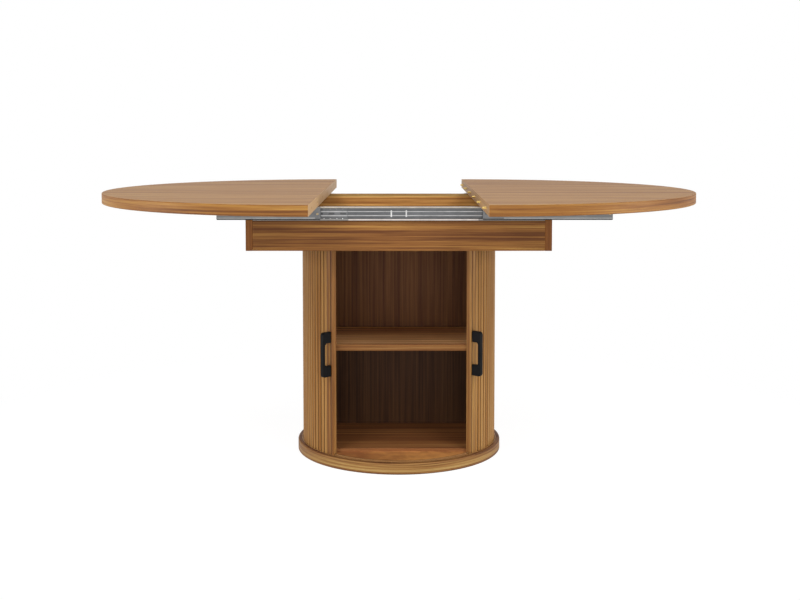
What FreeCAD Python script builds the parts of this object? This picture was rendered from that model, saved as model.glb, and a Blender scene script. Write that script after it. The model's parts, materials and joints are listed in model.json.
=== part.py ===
import FreeCAD, Part
import math
import os

import Sketcher

# Round kitchen table on a drum cabinet. The top is two half rounds that slide apart on
# telescopic slides over a storage tray; two tambour doors run round the drum.
#
# Millimetres and degrees. The origin is the drum's axis at floor level, +Z is up, -Y is
# the front and +X is the right. An angle "round the drum" is counted from -Y towards +X.

# Driving dimensions: alias, value, meaning.
DIMENSIONS = (
    ("table_height", 718, "floor to the top surface"),
    ("top_radius", 600, "half round of the top"),
    ("top_thickness", 27, "top panels"),
    ("top_edge_round", 2, "rounding along the curved edge"),
    ("half_shift", 205, "split face from the centre, table open"),
    ("top_clearance", 0.5, "air between the tray walls and the sliding top"),
    ("peg_radius", 2.5, "register pegs in the split face"),
    ("peg_stickout", 9, "peg length outside the panel"),
    ("peg_embed", 16, "peg length inside the panel"),
    ("peg_tip", 1, "length of the tapered end"),
    ("peg_end", 100, "outer pegs from the ends of the split face"),
    ("peg_count", 6, "register pegs"),
    ("peg_fit", 0.05, "radial fit of a peg in its own panel"),
    ("socket_clearance", 0.5, "radial clearance in the other panel"),
    ("socket_spare", 3, "extra depth of the sockets"),
    ("apron_height", 113, "tray walls"),
    ("apron_board", 18, "tray wall boards"),
    ("tray_rim", 2, "tray walls' outer faces to the track groove"),
    ("tray_board", 18, "tray floor"),
    ("corner_block", 24, "square glue blocks"),
    ("corner_block_drop", 10, "block top below the wall top"),
    ("plinth_rim", 11, "plinth's edge to the track groove"),
    ("plinth_thickness", 30, "plinth disc"),
    ("plinth_round", 5, "rounded upper edge of the plinth"),
    ("plinth_foot_round", 2, "rounded lower edge of the plinth"),
    ("case_radius", 248, "round outline of the fixed case"),
    ("case_front", 166.5, "straight front edge of floor and shelf"),
    ("case_side_gap", 27, "side panels' outer faces to the curved panel, along X"),
    ("case_board", 16, "side and back panels"),
    ("side_setback", 2.86, "side panels' front edges behind the round outline"),
    ("case_corner_gap", 10.46, "side panels' rear ends to the curved panel, along Y"),
    ("back_side_gap", 0.5, "back panel's ends to the curved panel"),
    ("floor_board", 17, "cabinet floor"),
    ("floor_recess", 10, "cabinet floor let into the plinth"),
    ("shelf_height", 317, "shelf's upper face"),
    ("shelf_board", 17, "shelf"),
    ("shelf_side_gap", 0.4, "shelf to side panel"),
    ("pin_radius", 2.5, "shelf pins"),
    ("pin_length", 16, "shelf pins"),
    ("pin_embed", 8, "pin length in the panel"),
    ("pin_front", 30, "front pins behind the side panels' front edges"),
    ("pin_back", 30, "rear pins in front of the back panel"),
    ("shell_slat", 4.5, "rear slats"),
    ("shell_panel", 4, "curved panel behind the rear slats"),
    ("shell_slat_count", 58, "rear slats"),
    ("shell_margin", 1, "angle that the curved panel passes the slats"),
    ("batten_width", 20, "battens that hold the curved panel"),
    ("batten_setback", 1, "battens behind the curved panel's edges"),
    ("batten_fit", 0.1, "battens to the curved panel"),
    ("door_gap", 3.5, "leading stiles to the round outline of the case"),
    ("slat_thickness", 8.5, "door slats"),
    ("slat_joint", 0.235, "gap between slats at their backs"),
    ("slat_crown", 2.2, "rise of a slat's rounded face"),
    ("slat_pitch", 3, "angle from slat to slat"),
    ("slat_count", 31, "slats of a door"),
    ("canvas_thickness", 0.8, "flexible backing"),
    ("stile_thickness", 15.5, "leading stile of a door"),
    ("stile_angle", 4, "leading stile, angle round the drum"),
    ("stile_gap", 1, "stile and canvas to plinth and tray"),
    ("stile_flute", 1, "radius of the flute in the stile"),
    ("stile_flute_angle", 1, "flute behind the leading edge"),
    ("left_door_angle", 41, "leading edge of the left door, left of the front"),
    ("right_door_angle", 45.3, "leading edge of the right door, right of the front"),
    ("door_open_angle", 60, "leading edge of an open door from the front"),
    ("track_play_outer", 1.8, "door's outer face to the track liner"),
    ("track_play_inner", 0.8, "slats' backs to the track liner"),
    ("track_depth", 6, "track groove"),
    ("track_wall", 1.2, "track liner"),
    ("track_run_gap", 0.4, "slat ends over the lower track"),
    ("track_lift_gap", 2, "slat ends under the upper track"),
    ("stop_gap_angle", 1.5, "from an open door's last slat to its stop"),
    ("track_stop_width", 3, "end stop, angle round the drum"),
    ("track_stop_height", 4, "end stop over the track floor"),
    ("handle_length", 118, "bridge handle"),
    ("handle_width", 10.5, "bridge handle"),
    ("handle_reach", 29, "handle's face to the stile"),
    ("handle_bar", 7, "thickness of the bar"),
    ("handle_post", 29, "height of each foot"),
    ("handle_round", 5, "outer corners of the handle"),
    ("handle_height", 297.5, "middle of the handle over the floor"),
    ("handle_angle", 1.7, "handle behind the leading edge"),
    ("bolt_radius", 2, "handle screws"),
    ("bolt_head_radius", 4, "handle screws"),
    ("bolt_head", 2.2, "handle screws"),
    ("bolt_bite", 10, "screw length in the handle"),
    ("screw_gap", 0.2, "radial clearance of a passing screw"),
    ("screw_fit", 0.05, "radial fit of a screw in its bore"),
    ("bore_spare", 1, "bore depth past a screw's tip"),
    ("case_screw_radius", 3.2, "long case screws"),
    ("case_screw_head", 5, "head radius of the case screws"),
    ("case_screw_head_height", 3, "head height of the case screws"),
    ("case_screw_sink", 1, "head below the plinth's underside"),
    ("case_screw_bite", 32, "screw length in the panel's end"),
    ("case_screw_front", 55, "front screws behind the side panels' front edges"),
    ("case_screw_rear", 40, "rear side screws in front of the back panel"),
    ("case_screw_back", 110, "back panel screws, distance from the middle"),
    ("rail_height", 35, "fixed rail"),
    ("rail_depth", 13, "fixed rail"),
    ("rail_sheet", 1.5, "fixed rail, steel"),
    ("rail_lip", 3, "turned-in lips of the rail"),
    ("rail_half_length", 370, "fixed rail, half its length"),
    ("rail_end_gap", 2, "rail's ends to the tray's end boards, along X"),
    ("bead_rise", 0.8, "pressed beads of the rail"),
    ("bead_width", 2.4, "pressed beads of the rail"),
    ("bead_offset", 5.2, "beads from the rail's middle"),
    ("clip_offset", 19, "clips from the rail's middle"),
    ("clip_width", 3.5, "clips on the rail"),
    ("clip_height", 17, "clips on the rail"),
    ("clip_sheet", 0.5, "clips on the rail"),
    ("rail_screw_end", 35, "outer rail screws from the rail's ends"),
    ("rail_screw_pitch", 100, "from outer to inner rail screw"),
    ("rail_screw_radius", 1.75, "rail screws"),
    ("rail_screw_head", 3.5, "head radius of the rail screws"),
    ("rail_screw_head_height", 1.2, "rail screws"),
    ("rail_screw_bite", 14, "rail screw length in the tray wall"),
    ("runner_sheet", 1.5, "runner, steel"),
    ("runner_reveal", 0.3, "runner's face proud of the rail's lips"),
    ("runner_depth", 8.9, "runner channel"),
    ("ball_gap", 5.6, "ball race between rail and runner"),
    ("ball_radius", 2.4, "slide balls"),
    ("ball_pitch", 16, "from ball to ball"),
    ("cage_sheet", 0.8, "ball cage, steel"),
    ("cage_web", 3.2, "cage web from the tray wall"),
    ("cage_hole_gap", 0.3, "ball to the edge of its hole"),
    ("short_runner_offset", -7, "short runner's inner end behind the split face"),
    ("short_runner_length", 263.3, "short runner"),
    ("long_runner_offset", 7.5, "long runner's inner end behind the split face"),
    ("long_runner_length", 328.8, "long runner"),
    ("short_cage_offset", -68, "cage behind the short runner's inner end"),
    ("short_cage_end", 40, "cage of the short runner to the rail's end"),
    ("long_cage_offset", 13.5, "cage behind the long runner's inner end"),
    ("long_cage_end", 14, "cage of the long runner to the rail's end"),
    ("plate_sheet", 1.5, "mounting plate, steel"),
    ("plate_rise", 4, "mounting plate's lower edge over the rail's"),
    ("plate_flange", 19, "mounting plate, flange under the top"),
    ("plate_lip", 2, "stiffening lip of the plate"),
    ("plate_lip_height", 1.2, "stiffening lip of the plate"),
    ("plate_screw_radius", 1.5, "brass screws of the plates"),
    ("plate_screw_head", 3, "head radius of the brass screws"),
    ("plate_screw_head_height", 1.5, "brass screws of the plates"),
    ("plate_screw_end", 8, "first and last plate hole from the plate's ends"),
    ("top_screw_radius", 2, "screws up into the top"),
    ("top_screw_head", 4, "head radius of the top screws"),
    ("top_screw_head_height", 2, "top screws"),
    ("top_screw_bite", 14, "top screw length in the panel"),
    ("top_screw_end", 30, "first and last top screw from the plate's ends"),
)
HALF_TURN = 180
FULL_TURN = 360
TINY = 1e-6

document = FreeCAD.newDocument("KitchenTable")
sheet = document.addObject("Spreadsheet::Sheet", "Sizes")
for row, (alias, value, meaning) in enumerate(DIMENSIONS, start=1):
    sheet.set(f"A{row}", meaning)
    sheet.set(f"B{row}", str(value))
    sheet.setAlias(f"B{row}", alias)
document.recompute()


class Size:
    """A length or an angle: its present number, and the expression that ties it to the sheet."""

    def __init__(self, number, text):
        self.number = number
        self.text = text

    def __add__(self, other):
        other = as_size(other)
        return Size(self.number + other.number, f"({self.text} + {other.text})")

    def __sub__(self, other):
        other = as_size(other)
        return Size(self.number - other.number, f"({self.text} - {other.text})")

    def __mul__(self, other):
        other = as_size(other)
        return Size(self.number * other.number, f"({self.text} * {other.text})")

    def __truediv__(self, other):
        other = as_size(other)
        return Size(self.number / other.number, f"({self.text} / {other.text})")

    def __neg__(self):
        return as_size(0) - self


def as_size(value):
    if isinstance(value, Size):
        return value
    return Size(float(value), repr(value))


def size(alias):
    """The sheet's value with this alias."""
    return Size(float(sheet.get(alias)), f"Sizes.{alias}")


def root(value):
    return Size(math.sqrt(value.number), f"sqrt({value.text})")


def cosine(angle):
    return Size(math.cos(math.radians(angle.number)), f"cos({angle.text} * 1 deg)")


def along(reach, offset):
    """The other side of a right triangle with this hypotenuse and this first side."""
    return root(reach * reach - offset * offset)


def bind(item, path, value):
    item.setExpression(path, as_size(value).text)


# ---------------------------------------------------------------- building blocks

X_AXIS = FreeCAD.Vector(1, 0, 0)
Y_AXIS = FreeCAD.Vector(0, 1, 0)
Z_AXIS = FreeCAD.Vector(0, 0, 1)
# Turns that point a cylinder, which stands along +Z, another way.
ROD_TURNS = {
    "+Z": FreeCAD.Rotation(Z_AXIS, 0),
    "-Z": FreeCAD.Rotation(X_AXIS, HALF_TURN),
    "+X": FreeCAD.Rotation(Y_AXIS, 90),
    "-X": FreeCAD.Rotation(Y_AXIS, -90),
    "+Y": FreeCAD.Rotation(X_AXIS, -90),
    "-Y": FreeCAD.Rotation(X_AXIS, 90),
}
nodes = []


def place(item, x, y, z):
    bind(item, "Placement.Base.x", x)
    bind(item, "Placement.Base.y", y)
    bind(item, "Placement.Base.z", z)


def box(name, x_span, y_span, z_span):
    item = document.addObject("Part::Box", name)
    bind(item, "Length", as_size(x_span[1]) - x_span[0])
    bind(item, "Width", as_size(y_span[1]) - y_span[0])
    bind(item, "Height", as_size(z_span[1]) - z_span[0])
    place(item, x_span[0], y_span[0], z_span[0])
    return item


def rod(name, radius, length, start, way="+Z"):
    item = document.addObject("Part::Cylinder", name)
    item.Placement = FreeCAD.Placement(FreeCAD.Vector(), ROD_TURNS[way])
    bind(item, "Radius", radius)
    bind(item, "Height", length)
    place(item, *start)
    return item


def combine(kind, name, parts):
    item = document.addObject(kind, name)
    if kind == "Part::Compound":
        item.Links = parts
    else:
        item.Shapes = parts
    return item


def fuse(name, parts):
    item = combine("Part::MultiFuse", name, parts)
    item.Refine = True
    return item


def group(name, parts):
    return combine("Part::Compound", name, parts)


def common(name, parts):
    return combine("Part::MultiCommon", name, parts)


def cut(name, base, tool):
    item = document.addObject("Part::Cut", name)
    item.Base = base
    item.Tool = tool
    return item


def ring(name, inner, outer, z_span, angles=None):
    """A ring round the drum's axis, or the sector of it between two angles round the drum."""
    solids = []
    for part, radius in (("outer", outer), ("inner", inner)):
        item = rod(f"{name}_{part}", radius, as_size(z_span[1]) - z_span[0], (0, 0, z_span[0]))
        if angles:
            bind(item, "Angle", as_size(angles[1]) - angles[0])
            bind(item, "Placement.Rotation.Angle", as_size(angles[0]) - 90)
        solids.append(item)
    return cut(name, *solids)


def turn(item, angle):
    """Turns an item about the drum's axis."""
    item.Placement = FreeCAD.Placement(FreeCAD.Vector(), FreeCAD.Rotation(Z_AXIS, 0))
    bind(item, "Placement.Rotation.Angle", angle)
    return item


def node(item, label):
    """Makes an item one of the table's pieces, under its name."""
    item.Label = label
    nodes.append(item)
    return item


def origin_feature(body, role):
    return next(item for item in body.Origin.OriginFeatures if item.Role == role)


def sketch(body, name, plane, offset, path):
    """A closed outline on one of a body's own planes.

    path lists (x, y, radius, bulge): a radius makes the side that starts there an arc, with
    its middle on the side of the bulge, a direction.
    """
    item = body.newObject("Sketcher::SketchObject", name)
    item.AttachmentSupport = [(origin_feature(body, plane), "")]
    item.MapMode = "FlatFace"
    bind(item, "AttachmentOffset.Base.z", offset)
    corners = [FreeCAD.Vector(as_size(x).number, as_size(y).number, 0) for x, y, _, _ in path]
    ends = []
    for index, (_, _, radius, bulge) in enumerate(path):
        start = corners[index]
        end = corners[(index + 1) % len(path)]
        if radius is None:
            side = Part.LineSegment(start, end)
        else:
            side = arc(start, end, radius.number, FreeCAD.Vector(*bulge, 0))
        item.addGeometry(side)
        ends.append((1, 2) if side.StartPoint.isEqual(start, TINY) else (2, 1))
    for index, (x, y, radius, _) in enumerate(path):
        following = (index + 1) % len(path)
        item.addConstraint(Sketcher.Constraint(
            "Coincident", index, ends[index][1], following, ends[following][0]))
        for kind, value in (("DistanceX", x), ("DistanceY", y)):
            value = as_size(value)
            number = item.addConstraint(Sketcher.Constraint(
                kind, -1, 1, index, ends[index][0], value.number))
            bind(item, f"Constraints[{number}]", value)
        if radius is not None:
            number = item.addConstraint(Sketcher.Constraint("Radius", index, radius.number))
            bind(item, f"Constraints[{number}]", radius)
    return item


def arc(start, end, radius, bulge):
    """The short arc between two points, run anticlockwise as a sketch keeps it."""
    if (end - start).cross(bulge).z > 0:
        start, end = end, start
    half = (end - start).Length / 2
    outward = (end - start).cross(Z_AXIS).normalize()
    rise = radius - math.sqrt(max(radius * radius - half * half, 0))
    return Part.Arc(start, (start + end) / 2 + outward * rise, end)


def pad(body, profile, length):
    item = body.newObject("PartDesign::Pad", f"{profile.Name}_pad")
    item.Profile = profile
    bind(item, "Length", length)
    return item


def line(x, y):
    return (x, y, None, None)


def curve(x, y, radius, bulge):
    return (x, y, as_size(radius), bulge)


# ---------------------------------------------------------------- shared heights and places

top_surface = size("table_height")
top_underside = top_surface - size("top_thickness")
apron_top = top_underside - size("top_clearance")
apron_bottom = apron_top - size("apron_height")
plinth_top = size("plinth_thickness")
floor_bottom = plinth_top - size("floor_recess")
floor_top = floor_bottom + size("floor_board")
tray_floor = apron_bottom + size("tray_board")
lower_track_floor = plinth_top - size("track_depth") + size("track_wall")
upper_track_floor = apron_bottom + size("track_depth") - size("track_wall")

# The drum, from the inside out.
shell_slat_inner = size("case_radius") - size("shell_slat")
shell_inner = shell_slat_inner - size("shell_panel")
stile_inner = size("case_radius") + size("door_gap")
door_radius = stile_inner + size("stile_thickness")
slat_inner = door_radius - size("slat_thickness")
track_inner = slat_inner - size("track_play_inner") - size("track_wall")
track_outer = door_radius + size("track_play_outer") + size("track_wall")

# The case inside it.
case_outer = shell_inner - size("case_side_gap")
case_half_width = case_outer - size("case_board")
side_front = along(size("case_radius"), case_outer) - size("side_setback")
back_front = along(shell_inner, case_outer) - size("case_corner_gap")
back_rear = back_front + size("case_board")

# The tray.
apron_inner_length = size("rail_half_length") + size("rail_end_gap")
apron_half_length = apron_inner_length + size("apron_board")
apron_half_depth = track_outer + size("tray_rim")
apron_inner_depth = apron_half_depth - size("apron_board")


# ---------------------------------------------------------------- fasteners

def screw(name, radius, length, head_radius, head_height, start, way):
    """A screw whose head starts at a point and whose shank follows it."""
    shank = rod(f"{name}_shank", radius, as_size(length) + head_height, start, way)
    head = rod(f"{name}_head", head_radius, head_height, start, way)
    return fuse(name, [shank, head])


def case_screw_places():
    """Screws into the panels' ends: two in each side panel, two in the back panel."""
    side = case_half_width + size("case_board") / 2
    back = back_front + size("case_board") / 2
    places = []
    for sign in (-1, 1):
        places.append((side * sign, size("case_screw_front") - side_front))
        places.append((side * sign, back_front - size("case_screw_rear")))
        places.append((size("case_screw_back") * sign, back))
    return places


def case_screws(label, head_z, through, way):
    """Six long screws that pass a board and bite into the panels' ends."""
    length = through - size("case_screw_head_height") + size("case_screw_bite")
    screws = []
    for index, (x, y) in enumerate(case_screw_places()):
        screws.append(screw(
            f"{label}_{index}", size("case_screw_radius"), length, size("case_screw_head"),
            size("case_screw_head_height"), (x, y, head_z), way))
    node(group(label, screws), label)


def case_screw_holes(name, z_span, radius):
    holes = []
    for index, (x, y) in enumerate(case_screw_places()):
        holes.append(rod(f"{name}_{index}", radius, as_size(z_span[1]) - z_span[0], (x, y, z_span[0])))
    return group(name, holes)


panel_bore = size("case_screw_radius") + size("screw_fit")
panel_bore_depth = size("case_screw_bite") + size("bore_spare")
pass_bore = size("case_screw_radius") + size("screw_gap")
head_bore = size("case_screw_head") + size("screw_gap")
lower_bores = case_screw_holes("lower_bores", (floor_top, floor_top + panel_bore_depth), panel_bore)
upper_bores = case_screw_holes("upper_bores", (apron_bottom - panel_bore_depth, apron_bottom), panel_bore)
panel_bores = group("panel_bores", [lower_bores, upper_bores])


# ---------------------------------------------------------------- base and case

def segment(name, z_span, half_width=None, y_back=None):
    """The case's round outline with its straight front edge."""
    disc = rod(f"{name}_disc", size("case_radius"), as_size(z_span[1]) - z_span[0], (0, 0, z_span[0]))
    half_width = half_width or size("case_radius")
    y_back = y_back or size("case_radius")
    window = box(f"{name}_window", (-half_width, half_width), (-size("case_front"), y_back), z_span)
    return common(name, [disc, window])


def build_plinth():
    body = document.addObject("PartDesign::Body", "plinth_body")
    radius = track_outer + size("plinth_rim")
    upper = size("plinth_round")
    lower = size("plinth_foot_round")
    groove_floor = plinth_top - size("track_depth")
    profile = sketch(body, "plinth_profile", "XZ_Plane", 0, [
        line(0, 0),
        curve(radius - lower, 0, lower, (1, -1)),
        line(radius, lower),
        curve(radius, plinth_top - upper, upper, (1, 1)),
        line(radius - upper, plinth_top),
        line(track_outer, plinth_top),
        line(track_outer, groove_floor),
        line(track_inner, groove_floor),
        line(track_inner, plinth_top),
        line(0, plinth_top),
    ])
    turned = body.newObject("PartDesign::Revolution", "plinth_turned")
    turned.Profile = profile
    turned.ReferenceAxis = (profile, ["V_Axis"])
    turned.Angle = FULL_TURN
    body.Tip = turned
    recess = segment("plinth_recess", (floor_bottom, plinth_top))
    head_depth = size("case_screw_sink") + size("case_screw_head_height")
    heads = case_screw_holes("plinth_head_bores", (0, head_depth), head_bore)
    passing = case_screw_holes("plinth_pass_bores", (head_depth, floor_bottom), pass_bore)
    return node(cut("plinth", body, group("plinth_cuts", [recess, heads, passing])), "plinth")


def build_tracks():
    """The track liners: plastic channels in the grooves of the plinth and the tray."""
    inner = track_inner
    outer = track_outer
    wall = size("track_wall")
    depth = size("track_depth")
    lower = ring("lower_liner", inner, outer, (plinth_top - depth, plinth_top))
    lower_channel = ring("lower_channel", inner + wall, outer - wall, (lower_track_floor, plinth_top))
    node(cut("lower_track", lower, lower_channel), "lower_track")
    upper = ring("upper_liner", inner, outer, (apron_bottom, apron_bottom + depth))
    upper_channel = ring("upper_channel", inner + wall, outer - wall, (apron_bottom, upper_track_floor))
    node(cut("upper_track", upper, upper_channel), "upper_track")
    tail = size("door_open_angle") + size("stile_angle") + size("slat_pitch") * size("slat_count")
    stops = []
    for sign in (-1, 1):
        first = (tail + size("stop_gap_angle")) * sign
        last = first + size("track_stop_width") * sign
        angles = (first, last) if sign > 0 else (last, first)
        stops.append(ring(
            f"track_stop_{len(stops)}", inner + wall, outer - wall,
            (lower_track_floor, lower_track_floor + size("track_stop_height")), angles))
    node(group("track_stops", stops), "track_stops")


def build_case():
    board = segment("floor_blank", (floor_bottom, floor_top))
    passing = case_screw_holes("floor_bores", (floor_bottom, floor_top), pass_bore)
    node(cut("floor_board", board, passing), "floor_board")
    for side, sign in (("left", -1), ("right", 1)):
        faces = sorted((case_half_width * sign, case_outer * sign), key=lambda face: face.number)
        blank = box(f"side_{side}_blank", faces, (-side_front, back_front),
                    (floor_top, apron_bottom))
        bores = group(f"side_{side}_bores", [panel_bores, pin_bores(side, sign)])
        node(cut(f"side_panel_{side}", blank, bores), f"side_panel_{side}")
    back_half = along(shell_inner, back_rear) - size("back_side_gap")
    blank = box("back_blank", (-back_half, back_half), (back_front, back_rear),
                (floor_top, apron_bottom))
    node(cut("back_panel", blank, panel_bores), "back_panel")
    sink = size("case_screw_sink")
    case_screws("plinth_screws", sink, floor_top - sink, "+Z")
    case_screws("tray_screws", tray_floor, size("tray_board"), "-Z")
    build_shelf()


def pin_places(sign):
    z = size("shelf_height") - size("shelf_board") - size("pin_radius")
    start = (case_half_width + size("pin_embed")) * sign
    return [(start, size("pin_front") - side_front, z), (start, back_front - size("pin_back"), z)]


def pin_bores(side, sign):
    """Bores in a side panel, from the pins' inner ends out of the panel's inner face."""
    way = "-X" if sign > 0 else "+X"
    radius = size("pin_radius") + size("screw_fit")
    bores = []
    for index, start in enumerate(pin_places(sign)):
        bores.append(rod(f"pin_bore_{side}_{index}", radius, size("pin_embed"), start, way))
    return group(f"pin_bores_{side}", bores)


def build_shelf():
    half_width = case_half_width - size("shelf_side_gap")
    top = size("shelf_height")
    shelf = segment("shelf", (top - size("shelf_board"), top), half_width, back_front)
    node(shelf, "shelf")
    pins = []
    for sign, way in ((-1, "+X"), (1, "-X")):
        for start in pin_places(sign):
            pins.append(rod(f"pin_{len(pins)}", size("pin_radius"), size("pin_length"), start, way))
    node(group("shelf_pins", pins), "shelf_pins")


def build_shell():
    """The fixed round back: a curved panel with slats, on two battens."""
    half = size("shell_slat_count") * size("slat_pitch") / 2
    panel_half = half + size("shell_margin")
    angles = (as_size(HALF_TURN) - panel_half, as_size(HALF_TURN) + panel_half)
    node(ring("rear_shell", shell_inner, shell_slat_inner, (floor_top, apron_bottom), angles), "rear_shell")
    first = as_size(HALF_TURN) - half + size("slat_pitch") / 2
    band = slat_band(
        "rear_slats", shell_slat_inner, size("shell_slat"), (floor_top, apron_bottom),
        size("shell_slat_count"), False)
    node(turn(band, first), "rear_slats")
    front = shell_inner * cosine(panel_half) + size("batten_setback")
    rear = front + size("batten_width")
    reach = along(shell_inner, rear) - size("batten_fit")
    for side, faces in (("left", (-reach, -case_outer)), ("right", (case_outer, reach))):
        item = box(f"shell_batten_{side}", faces, (front, rear), (floor_top, apron_bottom))
        node(item, f"shell_batten_{side}")


def slat_band(name, inner, thickness, z_span, count, backwards):
    """A row of upright slats round the drum's axis, the first one at the front."""
    body = document.addObject("PartDesign::Body", name)
    half = (inner * size("slat_pitch") * math.pi / HALF_TURN - size("slat_joint")) / 2
    crown = size("slat_crown")
    shoulder = inner + thickness - crown
    bend = (half * half + crown * crown) / (crown * 2)
    profile = sketch(body, f"{name}_profile", "XY_Plane", z_span[0], [
        line(-half, -inner),
        line(half, -inner),
        curve(half, -shoulder, bend, (0, -1)),
        line(-half, -shoulder),
    ])
    slat = pad(body, profile, as_size(z_span[1]) - z_span[0])
    row = body.newObject("PartDesign::PolarPattern", f"{name}_row")
    row.Originals = [slat]
    row.Axis = (origin_feature(body, "Z_Axis"), [""])
    row.Reversed = backwards
    bind(row, "Angle", size("slat_pitch") * (count - 1))
    bind(row, "Occurrences", count)
    body.Tip = row
    return body


# ---------------------------------------------------------------- tray

def build_tray():
    height = (apron_bottom, apron_top)
    groove = ring("tray_groove", track_inner, track_outer,
                  (apron_bottom, apron_bottom + size("track_depth")))
    head_floor = tray_floor - size("case_screw_head_height")
    heads = case_screw_holes("tray_head_bores", (head_floor, tray_floor), head_bore)
    passing = case_screw_holes("tray_pass_bores", (apron_bottom, tray_floor), pass_bore)
    blank = box("tray_blank", (-apron_inner_length, apron_inner_length),
                (-apron_inner_depth, apron_inner_depth), (apron_bottom, tray_floor))
    bottom_board = cut("apron_bottom_board", blank, group("tray_cuts", [groove, heads, passing]))
    node(bottom_board, "apron_bottom_board")
    for name, angle in (("front", 0), ("rear", HALF_TURN)):
        blank = box(f"apron_{name}_blank", (-apron_inner_length, apron_inner_length),
                    (-apron_half_depth, -apron_inner_depth), height)
        cuts = group(f"apron_{name}_cuts", [groove, rail_screw_bores(name)])
        node(turn(cut(f"apron_{name}_board", blank, cuts), angle), f"apron_{name}_board")
    for name, faces in (("left", (-apron_half_length, -apron_inner_length)),
                        ("right", (apron_inner_length, apron_half_length))):
        board = box(f"apron_end_{name}", faces, (-apron_half_depth, apron_half_depth), height)
        node(board, f"apron_end_{name}")
    blocks = []
    block = size("corner_block")
    top = apron_top - size("corner_block_drop")
    for x_span in ((-apron_inner_length, -apron_inner_length + block),
                   (apron_inner_length - block, apron_inner_length)):
        for y_span in ((-apron_inner_depth, -apron_inner_depth + block),
                       (apron_inner_depth - block, apron_inner_depth)):
            blocks.append(box(f"corner_block_{len(blocks)}", x_span, y_span, (tray_floor, top)))
    node(group("corner_blocks", blocks), "corner_blocks")


# ---------------------------------------------------------------- fixed rails
# Rails, runners, cages and plates are laid out for the front; "out" is the distance from the
# tray wall's outer face. The rear set is the front set turned half round.

rail_bottom = apron_top - size("rail_height")
rail_middle = apron_top - size("rail_height") / 2
rail_face = size("rail_depth")
runner_face = rail_face + size("runner_reveal")
runner_top = apron_top - size("rail_sheet") - size("ball_gap")
runner_bottom = rail_bottom + size("rail_sheet") + size("ball_gap")


def out(near, far):
    """The span along Y between two distances from the tray wall's outer face."""
    return (-(apron_half_depth + far), -(apron_half_depth + near))


def rail_screw_x():
    outer = size("rail_half_length") - size("rail_screw_end")
    return [x * sign for x in (outer - size("rail_screw_pitch"), outer) for sign in (-1, 1)]


def rail_screw_bores(name):
    depth = size("rail_screw_bite") + size("bore_spare")
    radius = size("rail_screw_radius") + size("screw_fit")
    bores = []
    for index, x in enumerate(rail_screw_x()):
        start = (x, -apron_half_depth, rail_middle)
        bores.append(rod(f"rail_bore_{name}_{index}", radius, depth, start, "+Y"))
    return group(f"rail_bores_{name}", bores)


def build_rail(name, angle):
    sheet_steel = size("rail_sheet")
    x_span = (-size("rail_half_length"), size("rail_half_length"))
    top = (apron_top - sheet_steel, apron_top)
    bottom = (rail_bottom, rail_bottom + sheet_steel)
    lip = size("rail_lip")
    lip_faces = out(rail_face - sheet_steel, rail_face)
    parts = [
        box(f"{name}_web", x_span, out(0, sheet_steel), (rail_bottom, apron_top)),
        box(f"{name}_top", x_span, out(0, rail_face), top),
        box(f"{name}_bottom", x_span, out(0, rail_face), bottom),
        box(f"{name}_top_lip", x_span, lip_faces, (apron_top - lip, apron_top)),
        box(f"{name}_bottom_lip", x_span, lip_faces, (rail_bottom, rail_bottom + lip)),
    ]
    half_bead = size("bead_width") / 2
    for sign in (-1, 1):
        middle = rail_middle + size("bead_offset") * sign
        parts.append(box(f"{name}_bead_{len(parts)}", x_span, out(0, sheet_steel + size("bead_rise")),
                         (middle - half_bead, middle + half_bead)))
    holes = []
    radius = size("rail_screw_radius") + size("screw_gap")
    for index, x in enumerate(rail_screw_x()):
        start = (x, -apron_half_depth, rail_middle)
        holes.append(rod(f"{name}_hole_{index}", radius, sheet_steel, start, "-Y"))
    rail = cut(name, fuse(f"{name}_blank", parts), group(f"{name}_holes", holes))
    node(turn(rail, angle), name)


def rail_small_parts(angle):
    """The clips and the screws of one rail."""
    clips = []
    web = size("rail_sheet")
    crest = web + size("bead_rise")
    half_height = size("clip_height") / 2
    half_width = size("clip_width") / 2
    for sign in (-1, 1):
        middle = size("clip_offset") * sign
        clips.append(box(
            f"clip_{angle}_{sign + 1}", (middle - half_width, middle + half_width),
            out(crest, crest + size("clip_sheet")),
            (rail_middle - half_height, rail_middle + half_height)))
    screws = []
    head = size("rail_screw_head_height")
    for index, x in enumerate(rail_screw_x()):
        start = (x, -(apron_half_depth + web + head), rail_middle)
        screws.append(screw(
            f"rail_screw_{angle}_{index}", size("rail_screw_radius"), web + size("rail_screw_bite"),
            size("rail_screw_head"), head, start, "+Y"))
    return turn(group(f"clips_{angle}", clips), angle), turn(group(f"rail_screws_{angle}", screws), angle)


# ---------------------------------------------------------------- runners, cages and plates

class Slide:
    """One runner with its cage and mounting plate, laid out on the front's left or right."""

    def __init__(self, kind, sign):
        self.kind = kind
        self.sign = sign
        inner = size("half_shift") + size(f"{kind}_runner_offset")
        self.inner = inner * sign
        self.outer = (inner + size(f"{kind}_runner_length")) * sign
        self.cage_inner = (inner + size(f"{kind}_cage_offset")) * sign
        self.cage_outer = (size("rail_half_length") - size(f"{kind}_cage_end")) * sign

    def span(self, first, last):
        return sorted((first, last), key=lambda end: end.number)

    def plate_holes(self):
        end = size("plate_screw_end") * self.sign
        return [self.inner + end, (self.inner + self.outer) / 2, self.outer - end]

    def top_screws(self):
        """Where the screws into the top stand, as X and Y."""
        end = size("top_screw_end") * self.sign
        middle = -(apron_half_depth + runner_face + size("plate_sheet") + size("plate_flange") / 2)
        return [(x, middle) for x in (self.inner + end, (self.inner + self.outer) / 2, self.outer - end)]


SHORT = Slide("short", -1)
LONG = Slide("long", 1)


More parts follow.
